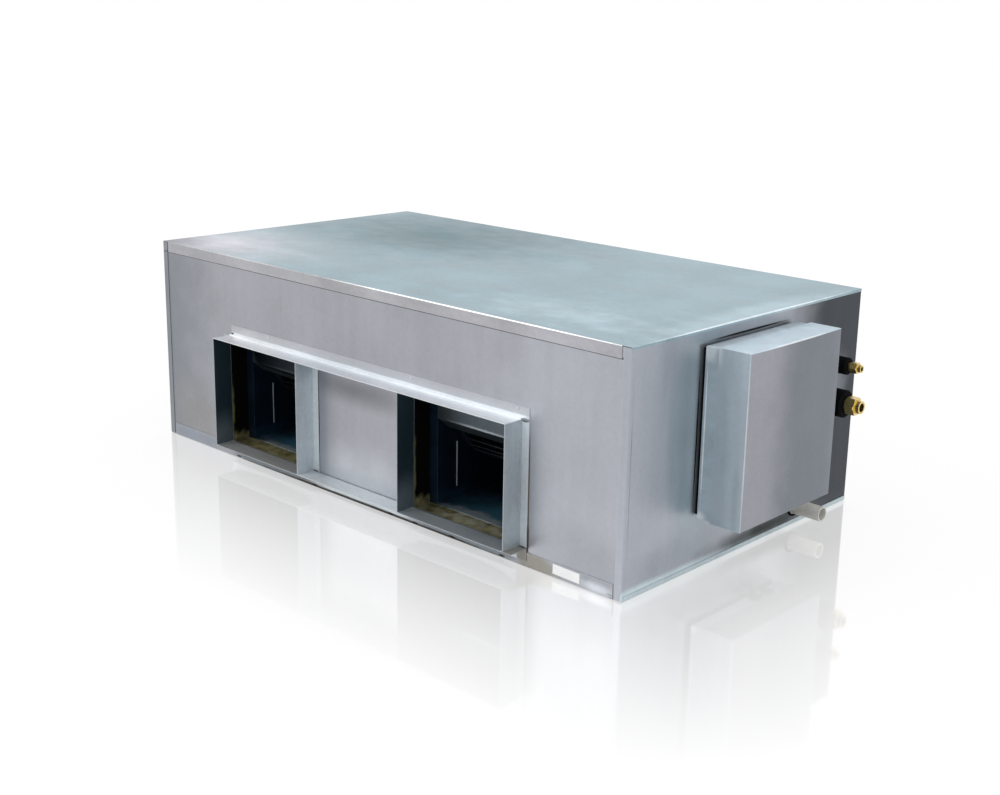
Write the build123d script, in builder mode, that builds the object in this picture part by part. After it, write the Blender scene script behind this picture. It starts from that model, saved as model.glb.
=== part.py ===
from build123d import *
from math import cos, degrees, asin, radians, sin, sqrt
import os

os.makedirs("parts", exist_ok=True)

# Driving dimensions in millimetres. The origin is the middle of the casing's underside,
# +Z is up, -Y is the discharge side and +X is the side with the pipes and the electrical box.

# Casing of galvanised sheet
casing_width = 1440
casing_depth = 790
casing_height = 480
sheet = 1.2
bend = 2.0
top_lip = 24
top_hem = 6
base_lip = 30
base_hem = 10
lip_half_width = 697.5
flange_edge_x = 702

# Discharge openings and their collar
blower_x = 312
opening_width = 297
opening_bottom = 38
opening_top = 292
collar_reach = 45
collar_top_flange = 27
collar_bottom_flange = 26
collar_side_flange = 21
top_flange_length = 935
top_flange_shift = 15

# Return opening and its duct flange
return_half_width = 600
return_bottom = 55
return_top = 435
return_reach = 30
return_flange_width = 25
return_foot_width = 20
return_bolt_radius = 3.5

# Foam
foam = 10
gasket_border = 25
blower_face_y = -349

# Blowers: a four-centre volute round a forward-curved wheel
wheel_y = -183
wheel_z = 237
wheel_radius = 120
wheel_half_width = 109
wheel_ring_inner = 104
wheel_ring = 2.5
blade_count = 36
blade_inner_radius = 103
blade_lean = 8
blade_camber = (0.10, 0.42)
blade_thick = 1.0
disc_radius = 110
hub_radius = 20
hub_length = 36
outlet_width = 250
scroll_step = 22
scroll_first_radius = 142
cutoff_face_bottom = 225
cutoff_tip = (-316, 199)
cutoff_curl = (-309, 206)
cutoff_bend = 3
scroll_start_z = 204
inlet_hole_radius = 117
inlet_throat_radius = 101
inlet_flange_radius = 128
inlet_throat_depth = 14
rail_places = [-318, -215]
rail_half_top = 15
rail_foot = 15
rail_sheet = 1.5
rail_length = 280

# Motor between the blowers
shaft_radius = 9.5
shaft_clearance = 0.05
shaft_half_length = 342
shaft_chamfer = 1
motor_radius = 80
motor_half_length = 75
shield_end = 92
shield_shoulder = 8
shield_slope = 14
motor_hub_radius = 22
motor_hub_end = 112
bearing_radius = 20
bearing_width = 12
bearing_gap = 1
rubber_radius = 30
rubber_inner_x = 97
rubber_outer_x = 111
cradle_sheet = 3
cradle_half_length = 105.5
cradle_half_width = 48
cradle_base_z = 137
cradle_bend = 6
ear_gap = 1
strap_thick = 2
strap_width = 12
pedestal_half_top = 60
pedestal_foot = 25
pedestal_sheet = 2
pedestal_bend = 3
pedestal_half_length = 95

# Evaporator coil, leaning back towards the return opening
coil_foot_y = 175
coil_foot_z = 70
coil_lean = 18
coil_height = 400
coil_thick = 76
coil_half_width = 600
end_plate = 1.5
end_plate_border = 4
tube_rows = (-25.4, 0, 25.4)
tube_pitch = 32
tube_first = 24
tube_count = 12
tube_radius = 4.76
bend_reach = 16
bend_shoulder = 0.25
bar_sides = 6
header_x = 655
header_back = -73.6
header_radius = 14
header_length = 370
feeder_corner = 14
copper_wall = 1.2

# Refrigerant connections through the right side panel
pipe_y = 309
gas_z = 245
liquid_z = 328
gas_pipe_radius = 9.53
liquid_pipe_radius = 4.76
gas_collar_radius = 30
liquid_collar_radius = 18.5
collar_end_x = 753
collar_chamfer = 3
thread_gap = 1
hex_chamfer = 2.5
liquid_run_x = 676
liquid_corner = 12
liquid_wall = 0.8
distributor_start_y = 232
distributor_end_y = 196
distributor_radius = 13
distributor_length = 8
capillary_radius = 1.6
capillary_pitch = 4.2
capillary_drop = 12
capillary_reach = 24
baffle_lap = 20
baffle_foot = 35

# Drain
pan_half_length = 690
pan_front = 105
pan_back = 372
pan_bottom = 22
pan_top = 60
pan_sheet = 1.5
drain_y = 180
drain_z = 40
drain_radius = 16
drain_bore = 13
drain_end_x = 789
drain_root_radius = 17
drain_collar_radius = 21
drain_collar_width = 3
drain_seal_radius = 22
drain_seal_lip = 2
drain_hole_radius = 19.5

# Electrical box on the right side panel
box_front = -185
box_back = 130
box_bottom = 108
box_top = 452
box_gap = 8
box_face_x = 828
tray_inset = 3
tray_end_x = 770
skirt_start_x = 758
cable_y = -28
cable_z = 300
cable_hole_radius = 14
cable_bore = 10
entry_x = 743
entry_places = [20, 60]
entry_hole_radius = 12
entry_bore = 9
grommet_lip = 2.5
grommet_flange = 3
box_gasket_inset = 5
box_seal_inset = 2
box_seal_width = 8

# Inside the electrical box: terminal block, control board on four posts, and the motor's capacitor
block_y = -90
block_rise = 30
block_height = 30
block_depth = 12
pole_pitch = 14
pole_count = 7
barrier_depth = 10
barrier_thick = 2
barrier_height = 26
board_y = -30
board_z = 325
board_width = 230
board_height = 170
board_thick = 1.6
board_post = 12
board_post_radius = 4
board_margin = 8
component_height = 22
transformer = (-70, 35, 48, 42)
relays = [(20, 45, 18, 28), (50, 45, 18, 28), (80, 45, 18, 28)]
connector_row = (0, -60, 150, 12)
capacitor_y = 85
capacitor_radius = 19
capacitor_length = 75
capacitor_chamfer = 2

# Planes worked out from the driving dimensions
half_width = casing_width / 2
half_depth = casing_depth / 2
side_x = half_width - sheet
inner_x = side_x - sheet
panel_low = bend
panel_high = casing_height - bend
panel_mid = (panel_low + panel_high) / 2
front_y = -half_depth + sheet
front_inner_y = front_y + sheet
rear_y = half_depth - sheet
rear_inner_y = rear_y - sheet
foam_x = inner_x - foam
foam_top = casing_height - sheet - foam
opening_height = opening_top - opening_bottom
opening_mid = (opening_top + opening_bottom) / 2
outlet_floor = opening_bottom + bend
blower_back_y = blower_face_y + sheet
return_mid = (return_bottom + return_top) / 2
return_height = return_top - return_bottom
box_y = (box_front + box_back) / 2
box_z = (box_bottom + box_top) / 2
box_width = box_back - box_front
box_height = box_top - box_bottom
tray_x = side_x + box_gap
tray_width = box_width - 2 * tray_inset
tray_height = box_height - 2 * tray_inset
wheel_axis = Axis((0, wheel_y, wheel_z), (1, 0, 0))
axis_section = Plane(origin=(0, wheel_y, wheel_z), x_dir=(1, 0, 0), z_dir=(0, -1, 0))
coil_up = (0, sin(radians(coil_lean)), cos(radians(coil_lean)))
coil_plane = Plane(
    origin=(0, coil_foot_y, coil_foot_z),
    x_dir=(1, 0, 0),
    z_dir=(0, -cos(radians(coil_lean)), sin(radians(coil_lean))),
)


def save(piece, name):
    piece.part.label = name
    export_step(piece.part, f"parts/{name}.step")


# A folded strip: the line is one face of the sheet, the thickness lies to its left or right
def folded(points, thickness, side, radius=bend):
    with BuildSketch() as strip:
        with BuildLine():
            if radius > 0:
                FilletPolyline(*points, radius=radius)
            else:
                Polyline(*points)
            offset(amount=thickness, side=side, kind=Kind.ARC if radius > 0 else Kind.INTERSECTION)
        make_face()
    return strip.sketch


def at_y(y):
    return Plane.XZ.offset(-y)


def coil_point(across, up, forward):
    return coil_plane.from_local_coords(Vector(across, up, forward))


# Casing

with BuildPart() as top_cover:
    with BuildSketch(Plane.YZ.offset(-lip_half_width)):
        lip_end = casing_height - top_lip
        add(folded([(-half_depth, lip_end), (-half_depth, casing_height),
                    (half_depth, casing_height), (half_depth, lip_end)], sheet, Side.RIGHT))
    extrude(amount=2 * lip_half_width)
    with BuildSketch(at_y(half_depth - bend)):
        hem_end = casing_height - top_hem
        add(folded([(-half_width, hem_end), (-half_width, casing_height),
                    (half_width, casing_height), (half_width, hem_end)], sheet, Side.RIGHT))
    extrude(amount=2 * (half_depth - bend))
save(top_cover, "top_cover")

with BuildPart() as base_panel:
    with BuildSketch(Plane.YZ.offset(-lip_half_width)):
        add(folded([(-half_depth, base_lip), (-half_depth, 0),
                    (half_depth, 0), (half_depth, base_lip)], sheet, Side.LEFT))
    extrude(amount=2 * lip_half_width)
    with BuildSketch(at_y(half_depth - bend)):
        add(folded([(-half_width, base_hem), (-half_width, 0),
                    (half_width, 0), (half_width, base_hem)], sheet, Side.LEFT))
    extrude(amount=2 * (half_depth - bend))
save(base_panel, "base_panel")

for side, sign in (("left", -1), ("right", 1)):
    with BuildPart() as side_panel:
        with BuildSketch(Plane.XY.offset(panel_low)):
            outline = [(sign * flange_edge_x, -half_depth), (sign * side_x, -half_depth),
                       (sign * side_x, half_depth), (sign * flange_edge_x, half_depth)]
            add(folded(outline, sheet, Side.LEFT if side == "right" else Side.RIGHT))
        extrude(amount=panel_high - panel_low)
        if side == "right":
            with BuildSketch(Plane.YZ.offset(inner_x)):
                with Locations((pipe_y, gas_z)):
                    Circle(gas_collar_radius)
                with Locations((pipe_y, liquid_z)):
                    Circle(liquid_collar_radius)
                with Locations((drain_y, drain_z)):
                    Circle(drain_hole_radius)
                with Locations((cable_y, cable_z)):
                    Circle(cable_hole_radius)
            extrude(amount=sheet, mode=Mode.SUBTRACT)
    save(side_panel, f"{side}_side_panel")

with BuildPart() as front_panel:
    with BuildSketch(at_y(front_inner_y)):
        with Locations((0, panel_mid)):
            Rectangle(2 * (inner_x - sheet), panel_high - panel_low)
        with Locations((-blower_x, opening_mid), (blower_x, opening_mid)):
            Rectangle(opening_width, opening_height, mode=Mode.SUBTRACT)
    extrude(amount=sheet)
save(front_panel, "front_panel")

with BuildPart() as rear_panel:
    with BuildSketch(at_y(rear_y)):
        with Locations((0, panel_mid)):
            Rectangle(2 * (inner_x - sheet), panel_high - panel_low)
        with Locations((0, return_mid)):
            Rectangle(2 * return_half_width, return_height, mode=Mode.SUBTRACT)
    extrude(amount=sheet)
save(rear_panel, "rear_panel")

# Return duct flange: a spigot round the opening, with a foot on the panel and an outward bolt face
with BuildPart() as return_flange:
    with BuildSketch(at_y(rear_y + return_reach)):
        with Locations((0, return_mid)):
            Rectangle(2 * (return_half_width + sheet), return_height + 2 * sheet)
            Rectangle(2 * return_half_width, return_height, mode=Mode.SUBTRACT)
    extrude(amount=return_reach)
    for face_y, border in ((rear_y + sheet, return_foot_width), (rear_y + return_reach, return_flange_width)):
        with BuildSketch(at_y(face_y)):
            with Locations((0, return_mid)):
                Rectangle(2 * (return_half_width + border), return_height + 2 * border)
                Rectangle(2 * return_half_width, return_height, mode=Mode.SUBTRACT)
        extrude(amount=sheet)
    bolt_pitch = return_half_width + return_flange_width / 2
    bolt_rise = return_height + return_flange_width
    with BuildSketch(at_y(rear_y + return_reach)):
        with Locations((0, return_mid)):
            with GridLocations(bolt_pitch, bolt_rise, 3, 2):
                Circle(return_bolt_radius)
    extrude(amount=sheet, mode=Mode.SUBTRACT)
save(return_flange, "return_flange")

# Discharge collar of folded angles round both openings

collar_front_y = -half_depth - collar_reach
collar_half_width = blower_x + opening_width / 2 + sheet
top_flange_low = opening_top + 2 * bend
top_flange_high = opening_top + collar_top_flange

with BuildPart() as collar_top_angle:
    with BuildSketch(Plane.YZ.offset(-collar_half_width)):
        add(folded([(collar_front_y, opening_top), (front_y, opening_top), (front_y, top_flange_low)],
                   sheet, Side.LEFT))
    extrude(amount=2 * collar_half_width)
    with BuildSketch(at_y(front_y)):
        with Locations((top_flange_shift, (top_flange_low + top_flange_high) / 2)):
            Rectangle(top_flange_length, top_flange_high - top_flange_low)
    extrude(amount=sheet)
save(collar_top_angle, "collar_top_angle")

with BuildPart() as collar_bottom_angle:
    with BuildSketch(Plane.YZ.offset(-collar_half_width)):
        flange_low = opening_bottom - collar_bottom_flange
        add(folded([(collar_front_y, opening_bottom), (-half_depth, opening_bottom),
                    (-half_depth, flange_low)], sheet, Side.RIGHT))
    extrude(amount=2 * collar_half_width + collar_side_flange)
save(collar_bottom_angle, "collar_bottom_angle")

with BuildPart() as collar_side_angles:
    with BuildSketch(Plane.XY.offset(opening_bottom)):
        for middle in (-blower_x, blower_x):
            for sign, thick_side in ((-1, Side.LEFT), (1, Side.RIGHT)):
                wall_x = middle + sign * opening_width / 2
                edge_x = wall_x + sign * collar_side_flange
                add(folded([(wall_x, collar_front_y), (wall_x, front_y), (edge_x, front_y)],
                           sheet, thick_side))
    extrude(amount=opening_height)
save(collar_side_angles, "collar_side_angles")

# Foam: gaskets round the two outlets, and linings on the panels

gasket_width = opening_width + 2 * gasket_border
gasket_height = opening_height + 2 * gasket_border

with BuildPart() as outlet_gaskets:
    with BuildSketch(at_y(blower_face_y)):
        with Locations((-blower_x, opening_mid), (blower_x, opening_mid)):
            Rectangle(gasket_width, gasket_height)
            Rectangle(opening_width, opening_height, mode=Mode.SUBTRACT)
    extrude(amount=blower_face_y - front_inner_y)
save(outlet_gaskets, "outlet_gaskets")

with BuildPart() as top_insulation:
    with BuildSketch(Plane.XY.offset(foam_top)):
        Rectangle(2 * foam_x, rear_inner_y - front_inner_y)
    extrude(amount=foam)
save(top_insulation, "top_insulation")

with BuildPart() as front_insulation:
    with BuildSketch(at_y(front_inner_y + foam)):
        with Locations((0, (sheet + foam_top) / 2)):
            Rectangle(2 * foam_x, foam_top - sheet)
        with Locations((-blower_x, opening_mid), (blower_x, opening_mid)):
            Rectangle(gasket_width, gasket_height, mode=Mode.SUBTRACT)
    extrude(amount=foam)
save(front_insulation, "front_insulation")

with BuildPart() as side_insulation:
    for sign in (-1, 1):
        with BuildSketch(Plane.YZ.offset(foam_x if sign > 0 else -inner_x)):
            with Locations((0, casing_height / 2)):
                Rectangle(rear_inner_y - front_inner_y, casing_height - 2 * sheet)
            if sign > 0:
                with Locations((pipe_y, gas_z)):
                    Circle(gas_collar_radius, mode=Mode.SUBTRACT)
                with Locations((pipe_y, liquid_z)):
                    Circle(liquid_collar_radius, mode=Mode.SUBTRACT)
                with Locations((drain_y, drain_z)):
                    Circle(drain_seal_radius, mode=Mode.SUBTRACT)
                with Locations((cable_y, cable_z)):
                    Circle(cable_hole_radius, mode=Mode.SUBTRACT)
        extrude(amount=foam)
save(side_insulation, "side_insulation")

lining_front = front_inner_y + foam
lining_depth = rear_inner_y - lining_front
pan_depth = pan_back - pan_front
pan_mid = (pan_front + pan_back) / 2

with BuildPart() as base_insulation:
    with BuildSketch(Plane.XY.offset(sheet)):
        with Locations((0, lining_front + lining_depth / 2)):
            Rectangle(2 * foam_x, lining_depth)
        rail_spots = [(x, y) for x in (-blower_x, blower_x) for y in rail_places]
        with Locations(*rail_spots):
            Rectangle(rail_length, 2 * (rail_half_top + rail_foot), mode=Mode.SUBTRACT)
        with Locations((0, wheel_y)):
            Rectangle(2 * pedestal_half_length, 2 * (pedestal_half_top + pedestal_foot), mode=Mode.SUBTRACT)
    extrude(amount=foam)
    with BuildSketch(Plane.XY.offset(sheet + foam)):
        with Locations((0, pan_mid)):
            Rectangle(2 * pan_half_length, pan_depth)
    extrude(amount=pan_bottom - sheet - foam)
save(base_insulation, "base_insulation")

# Blowers. The scroll has three quarter arcs whose centres lie on a small square round the wheel axis.

half_step = scroll_step / 2
arc_centres = [
    (wheel_y - half_step, wheel_z - half_step),
    (wheel_y + half_step, wheel_z - half_step),
    (wheel_y + half_step, wheel_z + half_step),
]
arc_radii = [scroll_first_radius + 2 * scroll_step, scroll_first_radius + scroll_step, scroll_first_radius]
arc_starts = [-90, 0, 90]
scroll_floor = wheel_z - half_step - arc_radii[0]


def scroll_strip():
    with BuildSketch() as strip:
        with BuildLine():
            Line((blower_back_y, scroll_floor), (wheel_y - half_step, scroll_floor))
            for centre, radius, start in zip(arc_centres, arc_radii, arc_starts):
                CenterArc(centre, radius, start, 90)
            throat_y = arc_centres[2][0] - arc_radii[2]
            Line((throat_y, arc_centres[2][1]), (throat_y, scroll_start_z))
            offset(amount=sheet, side=Side.LEFT)
        make_face()
    return strip.sketch


def scroll_side():
    last_radius = arc_radii[2] + sheet
    rise = opening_top - arc_centres[2][1]
    meet_y = arc_centres[2][0] - sqrt(last_radius**2 - rise**2)
    with BuildSketch() as side:
        with BuildLine():
            Line((blower_back_y, scroll_floor - sheet), (wheel_y - half_step, scroll_floor - sheet))
            CenterArc(arc_centres[0], arc_radii[0] + sheet, -90, 90)
            CenterArc(arc_centres[1], arc_radii[1] + sheet, 0, 90)
            CenterArc(arc_centres[2], last_radius, 90, 90 - degrees(asin(rise / last_radius)))
            Polyline((meet_y, opening_top), (blower_back_y, opening_top),
                     (blower_back_y, scroll_floor - sheet))
        make_face()
        with Locations((wheel_y, wheel_z)):
            Circle(inlet_hole_radius, mode=Mode.SUBTRACT)
    return side.sketch


# One forward-curved blade: a cambered strip from the inner radius to the rim, leaning into the rotation
def blade():
    points = []
    for along, bow in ((0, 0), (1 / 3, blade_camber[0]), (2 / 3, blade_camber[1]), (1, 1)):
        radius = blade_inner_radius + (wheel_radius - blade_thick - blade_inner_radius) * along
        angle = radians(-blade_lean * bow)
        points.append((radius * cos(angle), radius * sin(angle)))
    with BuildSketch() as strip:
        with BuildLine():
            Polyline(*points)
            offset(amount=blade_thick, side=Side.LEFT, kind=Kind.INTERSECTION)
        make_face()
    return strip.sketch


def blade_circle():
    with BuildSketch() as circle:
        with PolarLocations(0, blade_count):
            add(blade())
    return circle.sketch


for side, middle in (("left", -blower_x), ("right", blower_x)):
    low_x = middle - outlet_width / 2
    high_x = middle + outlet_width / 2

    with BuildPart() as housing:
        with BuildSketch(Plane.YZ.offset(low_x)):
            add(scroll_strip())
        extrude(amount=outlet_width)
        with BuildSketch(Plane.YZ.offset(low_x - sheet), Plane.YZ.offset(high_x)):
            add(scroll_side())
        extrude(amount=sheet)
        with BuildSketch(at_y(blower_back_y)):
            with Locations((middle, opening_mid)):
                Rectangle(gasket_width, gasket_height)
            with Locations((middle, (outlet_floor + opening_top) / 2)):
                Rectangle(outlet_width, opening_top - outlet_floor, mode=Mode.SUBTRACT)
        extrude(amount=sheet)
    save(housing, f"{side}_blower_housing")

    with BuildPart() as cutoff:
        with BuildSketch(Plane.YZ.offset(low_x)):
            add(folded([(blower_back_y, opening_top), (blower_back_y, cutoff_face_bottom),
                        cutoff_tip, cutoff_curl], sheet, Side.LEFT, cutoff_bend))
        extrude(amount=outlet_width)
    save(cutoff, f"{side}_blower_cutoff")

wheel_middles = (-blower_x, blower_x)
blades = blade_circle()

with BuildPart() as wheel_blades:
    for middle in wheel_middles:
        with BuildSketch(Plane.YZ.offset(middle - wheel_half_width + wheel_ring)):
            with Locations((wheel_y, wheel_z)):
                add(blades)
        extrude(amount=2 * (wheel_half_width - wheel_ring))
save(wheel_blades, "blower_wheel_blades")

with BuildPart() as wheel_rings:
    for middle in wheel_middles:
        with BuildSketch(Plane.YZ.offset(middle - wheel_half_width),
                         Plane.YZ.offset(middle + wheel_half_width - wheel_ring)):
            with Locations((wheel_y, wheel_z)):
                Circle(wheel_radius)
                Circle(wheel_ring_inner, mode=Mode.SUBTRACT)
        extrude(amount=wheel_ring)
save(wheel_rings, "blower_wheel_rings")

with BuildPart() as wheel_hubs:
    for middle in wheel_middles:
        with BuildSketch(Plane.YZ.offset(middle - wheel_ring / 2)):
            with Locations((wheel_y, wheel_z)):
                Circle(disc_radius)
                add(blades, mode=Mode.SUBTRACT)
        extrude(amount=wheel_ring)
        with BuildSketch(Plane.YZ.offset(middle - hub_length / 2)):
            with Locations((wheel_y, wheel_z)):
                Circle(hub_radius)
        extrude(amount=hub_length)
        with BuildSketch(Plane.YZ.offset(middle - hub_length / 2)):
            with Locations((wheel_y, wheel_z)):
                Circle(shaft_radius)
        extrude(amount=hub_length, mode=Mode.SUBTRACT)
save(wheel_hubs, "blower_wheel_hubs")

with BuildPart() as inlet_rings:
    for middle in wheel_middles:
        for sign in (-1, 1):
            seat = middle + sign * (outlet_width / 2 + sheet)
            throat = [(seat, inlet_flange_radius), (seat, inlet_throat_radius + inlet_throat_depth),
                      (seat - sign * inlet_throat_depth / 2, inlet_throat_radius),
                      (seat - sign * inlet_throat_depth, inlet_throat_radius)]
            with BuildSketch(axis_section):
                add(folded(throat, sheet, Side.LEFT if sign > 0 else Side.RIGHT, 0))
    revolve(axis=wheel_axis)
save(inlet_rings, "blower_inlet_rings")

with BuildPart() as blower_rails:
    for middle in (-blower_x, blower_x):
        with BuildSketch(Plane.YZ.offset(middle - rail_length / 2)):
            for y in rail_places:
                crown = scroll_floor - sheet - rail_sheet
                add(folded([(y - rail_half_top - rail_foot, sheet), (y - rail_half_top, sheet),
                            (y - rail_half_top, crown), (y + rail_half_top, crown),
                            (y + rail_half_top, sheet), (y + rail_half_top + rail_foot, sheet)],
                           rail_sheet, Side.LEFT))
        extrude(amount=rail_length)
save(blower_rails, "blower_rails")

# Motor

with BuildPart() as motor_shaft:
    with BuildSketch(Plane.YZ.offset(-shaft_half_length)):
        with Locations((wheel_y, wheel_z)):
            Circle(shaft_radius)
    extrude(amount=2 * shaft_half_length)
    chamfer(motor_shaft.edges().filter_by(GeomType.CIRCLE), length=shaft_chamfer)
save(motor_shaft, "motor_shaft")

with BuildPart() as motor_body:
    with BuildSketch(Plane.YZ.offset(-motor_half_length)):
        with Locations((wheel_y, wheel_z)):
            Circle(motor_radius)
            Circle(shaft_radius + shaft_clearance, mode=Mode.SUBTRACT)
    extrude(amount=2 * motor_half_length)
save(motor_body, "motor_body")

bore = shaft_radius + shaft_clearance
pocket_end = motor_half_length + bearing_gap + bearing_width

with BuildPart() as motor_end_shields:
    with BuildSketch(axis_section):
        with BuildLine():
            Polyline((motor_half_length, bearing_radius), (motor_half_length, motor_radius),
                     (shield_end - shield_shoulder, motor_radius), (shield_end, motor_radius - shield_slope),
                     (shield_end, motor_hub_radius), (motor_hub_end, motor_hub_radius),
                     (motor_hub_end, bore), (pocket_end, bore), (pocket_end, bearing_radius),
                     (motor_half_length, bearing_radius))
        make_face()
    revolve(axis=wheel_axis)
    mirror(about=Plane.YZ)
save(motor_end_shields, "motor_end_shields")

with BuildPart() as motor_bearings:
    with BuildSketch(Plane.YZ.offset(motor_half_length + bearing_gap), Plane.YZ.offset(-pocket_end)):
        with Locations((wheel_y, wheel_z)):
            Circle(bearing_radius)
            Circle(bore, mode=Mode.SUBTRACT)
    extrude(amount=bearing_width)
save(motor_bearings, "motor_bearings")

with BuildPart() as motor_rubber_rings:
    with BuildSketch(Plane.YZ.offset(rubber_inner_x), Plane.YZ.offset(-rubber_outer_x)):
        with Locations((wheel_y, wheel_z)):
            Circle(rubber_radius)
            Circle(motor_hub_radius, mode=Mode.SUBTRACT)
    extrude(amount=rubber_outer_x - rubber_inner_x)
save(motor_rubber_rings, "motor_rubber_rings")

rubber_mid_x = (rubber_inner_x + rubber_outer_x) / 2
ear_mid = (rubber_radius + ear_gap + cradle_half_width) / 2
ear_length = cradle_half_width - rubber_radius - ear_gap

with BuildPart() as motor_cradle:
    with BuildSketch(at_y(wheel_y + cradle_half_width)):
        add(folded([(-cradle_half_length, wheel_z), (-cradle_half_length, cradle_base_z),
                    (cradle_half_length, cradle_base_z), (cradle_half_length, wheel_z)],
                   cradle_sheet, Side.LEFT, cradle_bend))
    extrude(amount=2 * cradle_half_width)
    with BuildSketch(Plane.XY.offset(wheel_z - cradle_sheet)):
        with Locations(*[(sx * rubber_mid_x, wheel_y + sy * ear_mid) for sx in (-1, 1) for sy in (-1, 1)]):
            Rectangle(strap_width, ear_length)
    extrude(amount=cradle_sheet)
    with BuildSketch(Plane.YZ.offset(-motor_hub_end)):
        with Locations((wheel_y, wheel_z)):
            Circle(rubber_radius)
    extrude(amount=2 * motor_hub_end, mode=Mode.SUBTRACT)
save(motor_cradle, "motor_cradle")

with BuildPart() as motor_straps:
    for sign in (-1, 1):
        with BuildSketch(Plane.YZ.offset(sign * rubber_mid_x - strap_width / 2)):
            with Locations((wheel_y, wheel_z)):
                Circle(rubber_radius + strap_thick)
                Circle(rubber_radius, mode=Mode.SUBTRACT)
            with Locations((wheel_y, wheel_z)):
                Rectangle(2 * cradle_half_width, 2 * cradle_half_width, align=(Align.CENTER, Align.MAX),
                          mode=Mode.SUBTRACT)
            with Locations((wheel_y - ear_mid, wheel_z), (wheel_y + ear_mid, wheel_z)):
                Rectangle(ear_length, strap_thick, align=(Align.CENTER, Align.MIN))
        extrude(amount=strap_width)
save(motor_straps, "motor_straps")

with BuildPart() as motor_pedestal:
    with BuildSketch(Plane.YZ.offset(-pedestal_half_length)):
        crown = cradle_base_z - pedestal_sheet
        near, far = wheel_y - pedestal_half_top, wheel_y + pedestal_half_top
        add(folded([(near - pedestal_foot, sheet), (near, sheet), (near, crown),
                    (far, crown), (far, sheet), (far + pedestal_foot, sheet)],
                   pedestal_sheet, Side.LEFT, pedestal_bend))
    extrude(amount=2 * pedestal_half_length)
save(motor_pedestal, "motor_pedestal")

# Evaporator

with BuildPart() as evaporator_fins:
    with BuildSketch(coil_plane.offset(-coil_thick / 2)):
        with Locations((0, coil_height / 2)):
            Rectangle(2 * coil_half_width, coil_height)
    extrude(amount=coil_thick)
save(evaporator_fins, "evaporator_fins")

plate_half = coil_thick / 2 + end_plate_border
plate_corners = [coil_point(0, up, forward) for up, forward in (
    (0, plate_half), (coil_height + end_plate_border, plate_half),
    (coil_height + end_plate_border, -plate_half), (0, -plate_half))]
plate_foot_z = pan_bottom + pan_sheet

with BuildPart() as evaporator_end_plates:
    with BuildSketch(Plane.YZ.offset(coil_half_width), Plane.YZ.offset(-coil_half_width - end_plate)):
        with BuildLine():
            Polyline(*[(point.Y, point.Z) for point in plate_corners],
                     (plate_corners[3].Y, plate_foot_z), (plate_corners[0].Y, plate_foot_z),
                     (plate_corners[0].Y, plate_corners[0].Z))
        make_face()
    extrude(amount=end_plate)
save(evaporator_end_plates, "evaporator_end_plates")

tube_ups = [tube_first + tube_pitch * i for i in range(tube_count)]
fed_ups = tube_ups[::2]
drained_ups = tube_ups[1::2]
plate_x = coil_half_width + end_plate


# A return bend from one tube end to another, as a six-sided bar along five short runs
def return_bend(sign, rise, shift):
    a = coil_point(sign * plate_x, 0, 0)
    b = coil_point(sign * plate_x, rise, shift)
    half_out = Vector(sign * bend_reach / 2, 0, 0)
    turn_in = (b - a) * bend_shoulder
    with BuildPart() as piece:
        with BuildLine():
            Polyline(a, a + half_out, a + turn_in + half_out * 2,
                     b - turn_in + half_out * 2, b + half_out, b)
        with BuildSketch(Plane(origin=a, z_dir=(sign, 0, 0))):
            RegularPolygon(tube_radius, bar_sides)
        sweep(transition=Transition.RIGHT)
    return piece.part


def tube_places(ups, rows):
    return [coil_point(0, up, row) - coil_point(0, 0, 0) for up in ups for row in rows]


# On the left each bend joins two tubes of a row, on the right it crosses to the next row
left_bend = return_bend(-1, tube_pitch, 0)
crossing_bend = return_bend(1, 0, tube_rows[0] - tube_rows[1])

with BuildPart() as return_bends:
    with Locations(*tube_places(fed_ups, tube_rows)):
        add(left_bend)
    with Locations(*tube_places(fed_ups, tube_rows[1:2]), *tube_places(drained_ups, tube_rows[2:])):
        add(crossing_bend)
save(return_bends, "return_bends")

header_foot = coil_point(header_x, tube_first - header_radius, header_back)
header_plane = Plane(origin=header_foot, x_dir=(1, 0, 0), z_dir=coil_up)

with BuildPart() as suction_header:
    with BuildSketch(header_plane):
        Circle(header_radius)
    extrude(amount=header_length)
    for up in drained_ups:
        with BuildLine():
            Polyline(coil_point(plate_x, up, tube_rows[0]),
                     coil_point(header_x - feeder_corner, up, tube_rows[0]),
                     coil_point(header_x, up, tube_rows[0] - feeder_corner),
                     coil_point(header_x, up, header_back))
        with BuildSketch(Plane(origin=coil_point(plate_x, up, tube_rows[0]), z_dir=(1, 0, 0))):
            RegularPolygon(tube_radius, bar_sides)
        sweep(transition=Transition.RIGHT)
    with BuildSketch(header_plane.offset(copper_wall)):
        Circle(header_radius - copper_wall)
    extrude(amount=header_length - 2 * copper_wall, mode=Mode.SUBTRACT)
    with BuildSketch(Plane.YZ.offset(header_x)):
        with Locations((pipe_y, gas_z)):
            Circle(gas_pipe_radius - copper_wall)
    extrude(amount=2 * header_radius, mode=Mode.SUBTRACT)
save(suction_header, "suction_header")

with BuildPart() as gas_pipe:
    with BuildSketch(Plane.YZ.offset(header_x)):
        with Locations((pipe_y, gas_z)):
            Circle(gas_pipe_radius)
            Circle(gas_pipe_radius - copper_wall, mode=Mode.SUBTRACT)
    extrude(amount=collar_end_x - header_x)
    with BuildSketch(header_plane):
        Circle(header_radius)
    extrude(amount=header_length, mode=Mode.SUBTRACT)
save(gas_pipe, "gas_pipe")

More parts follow.
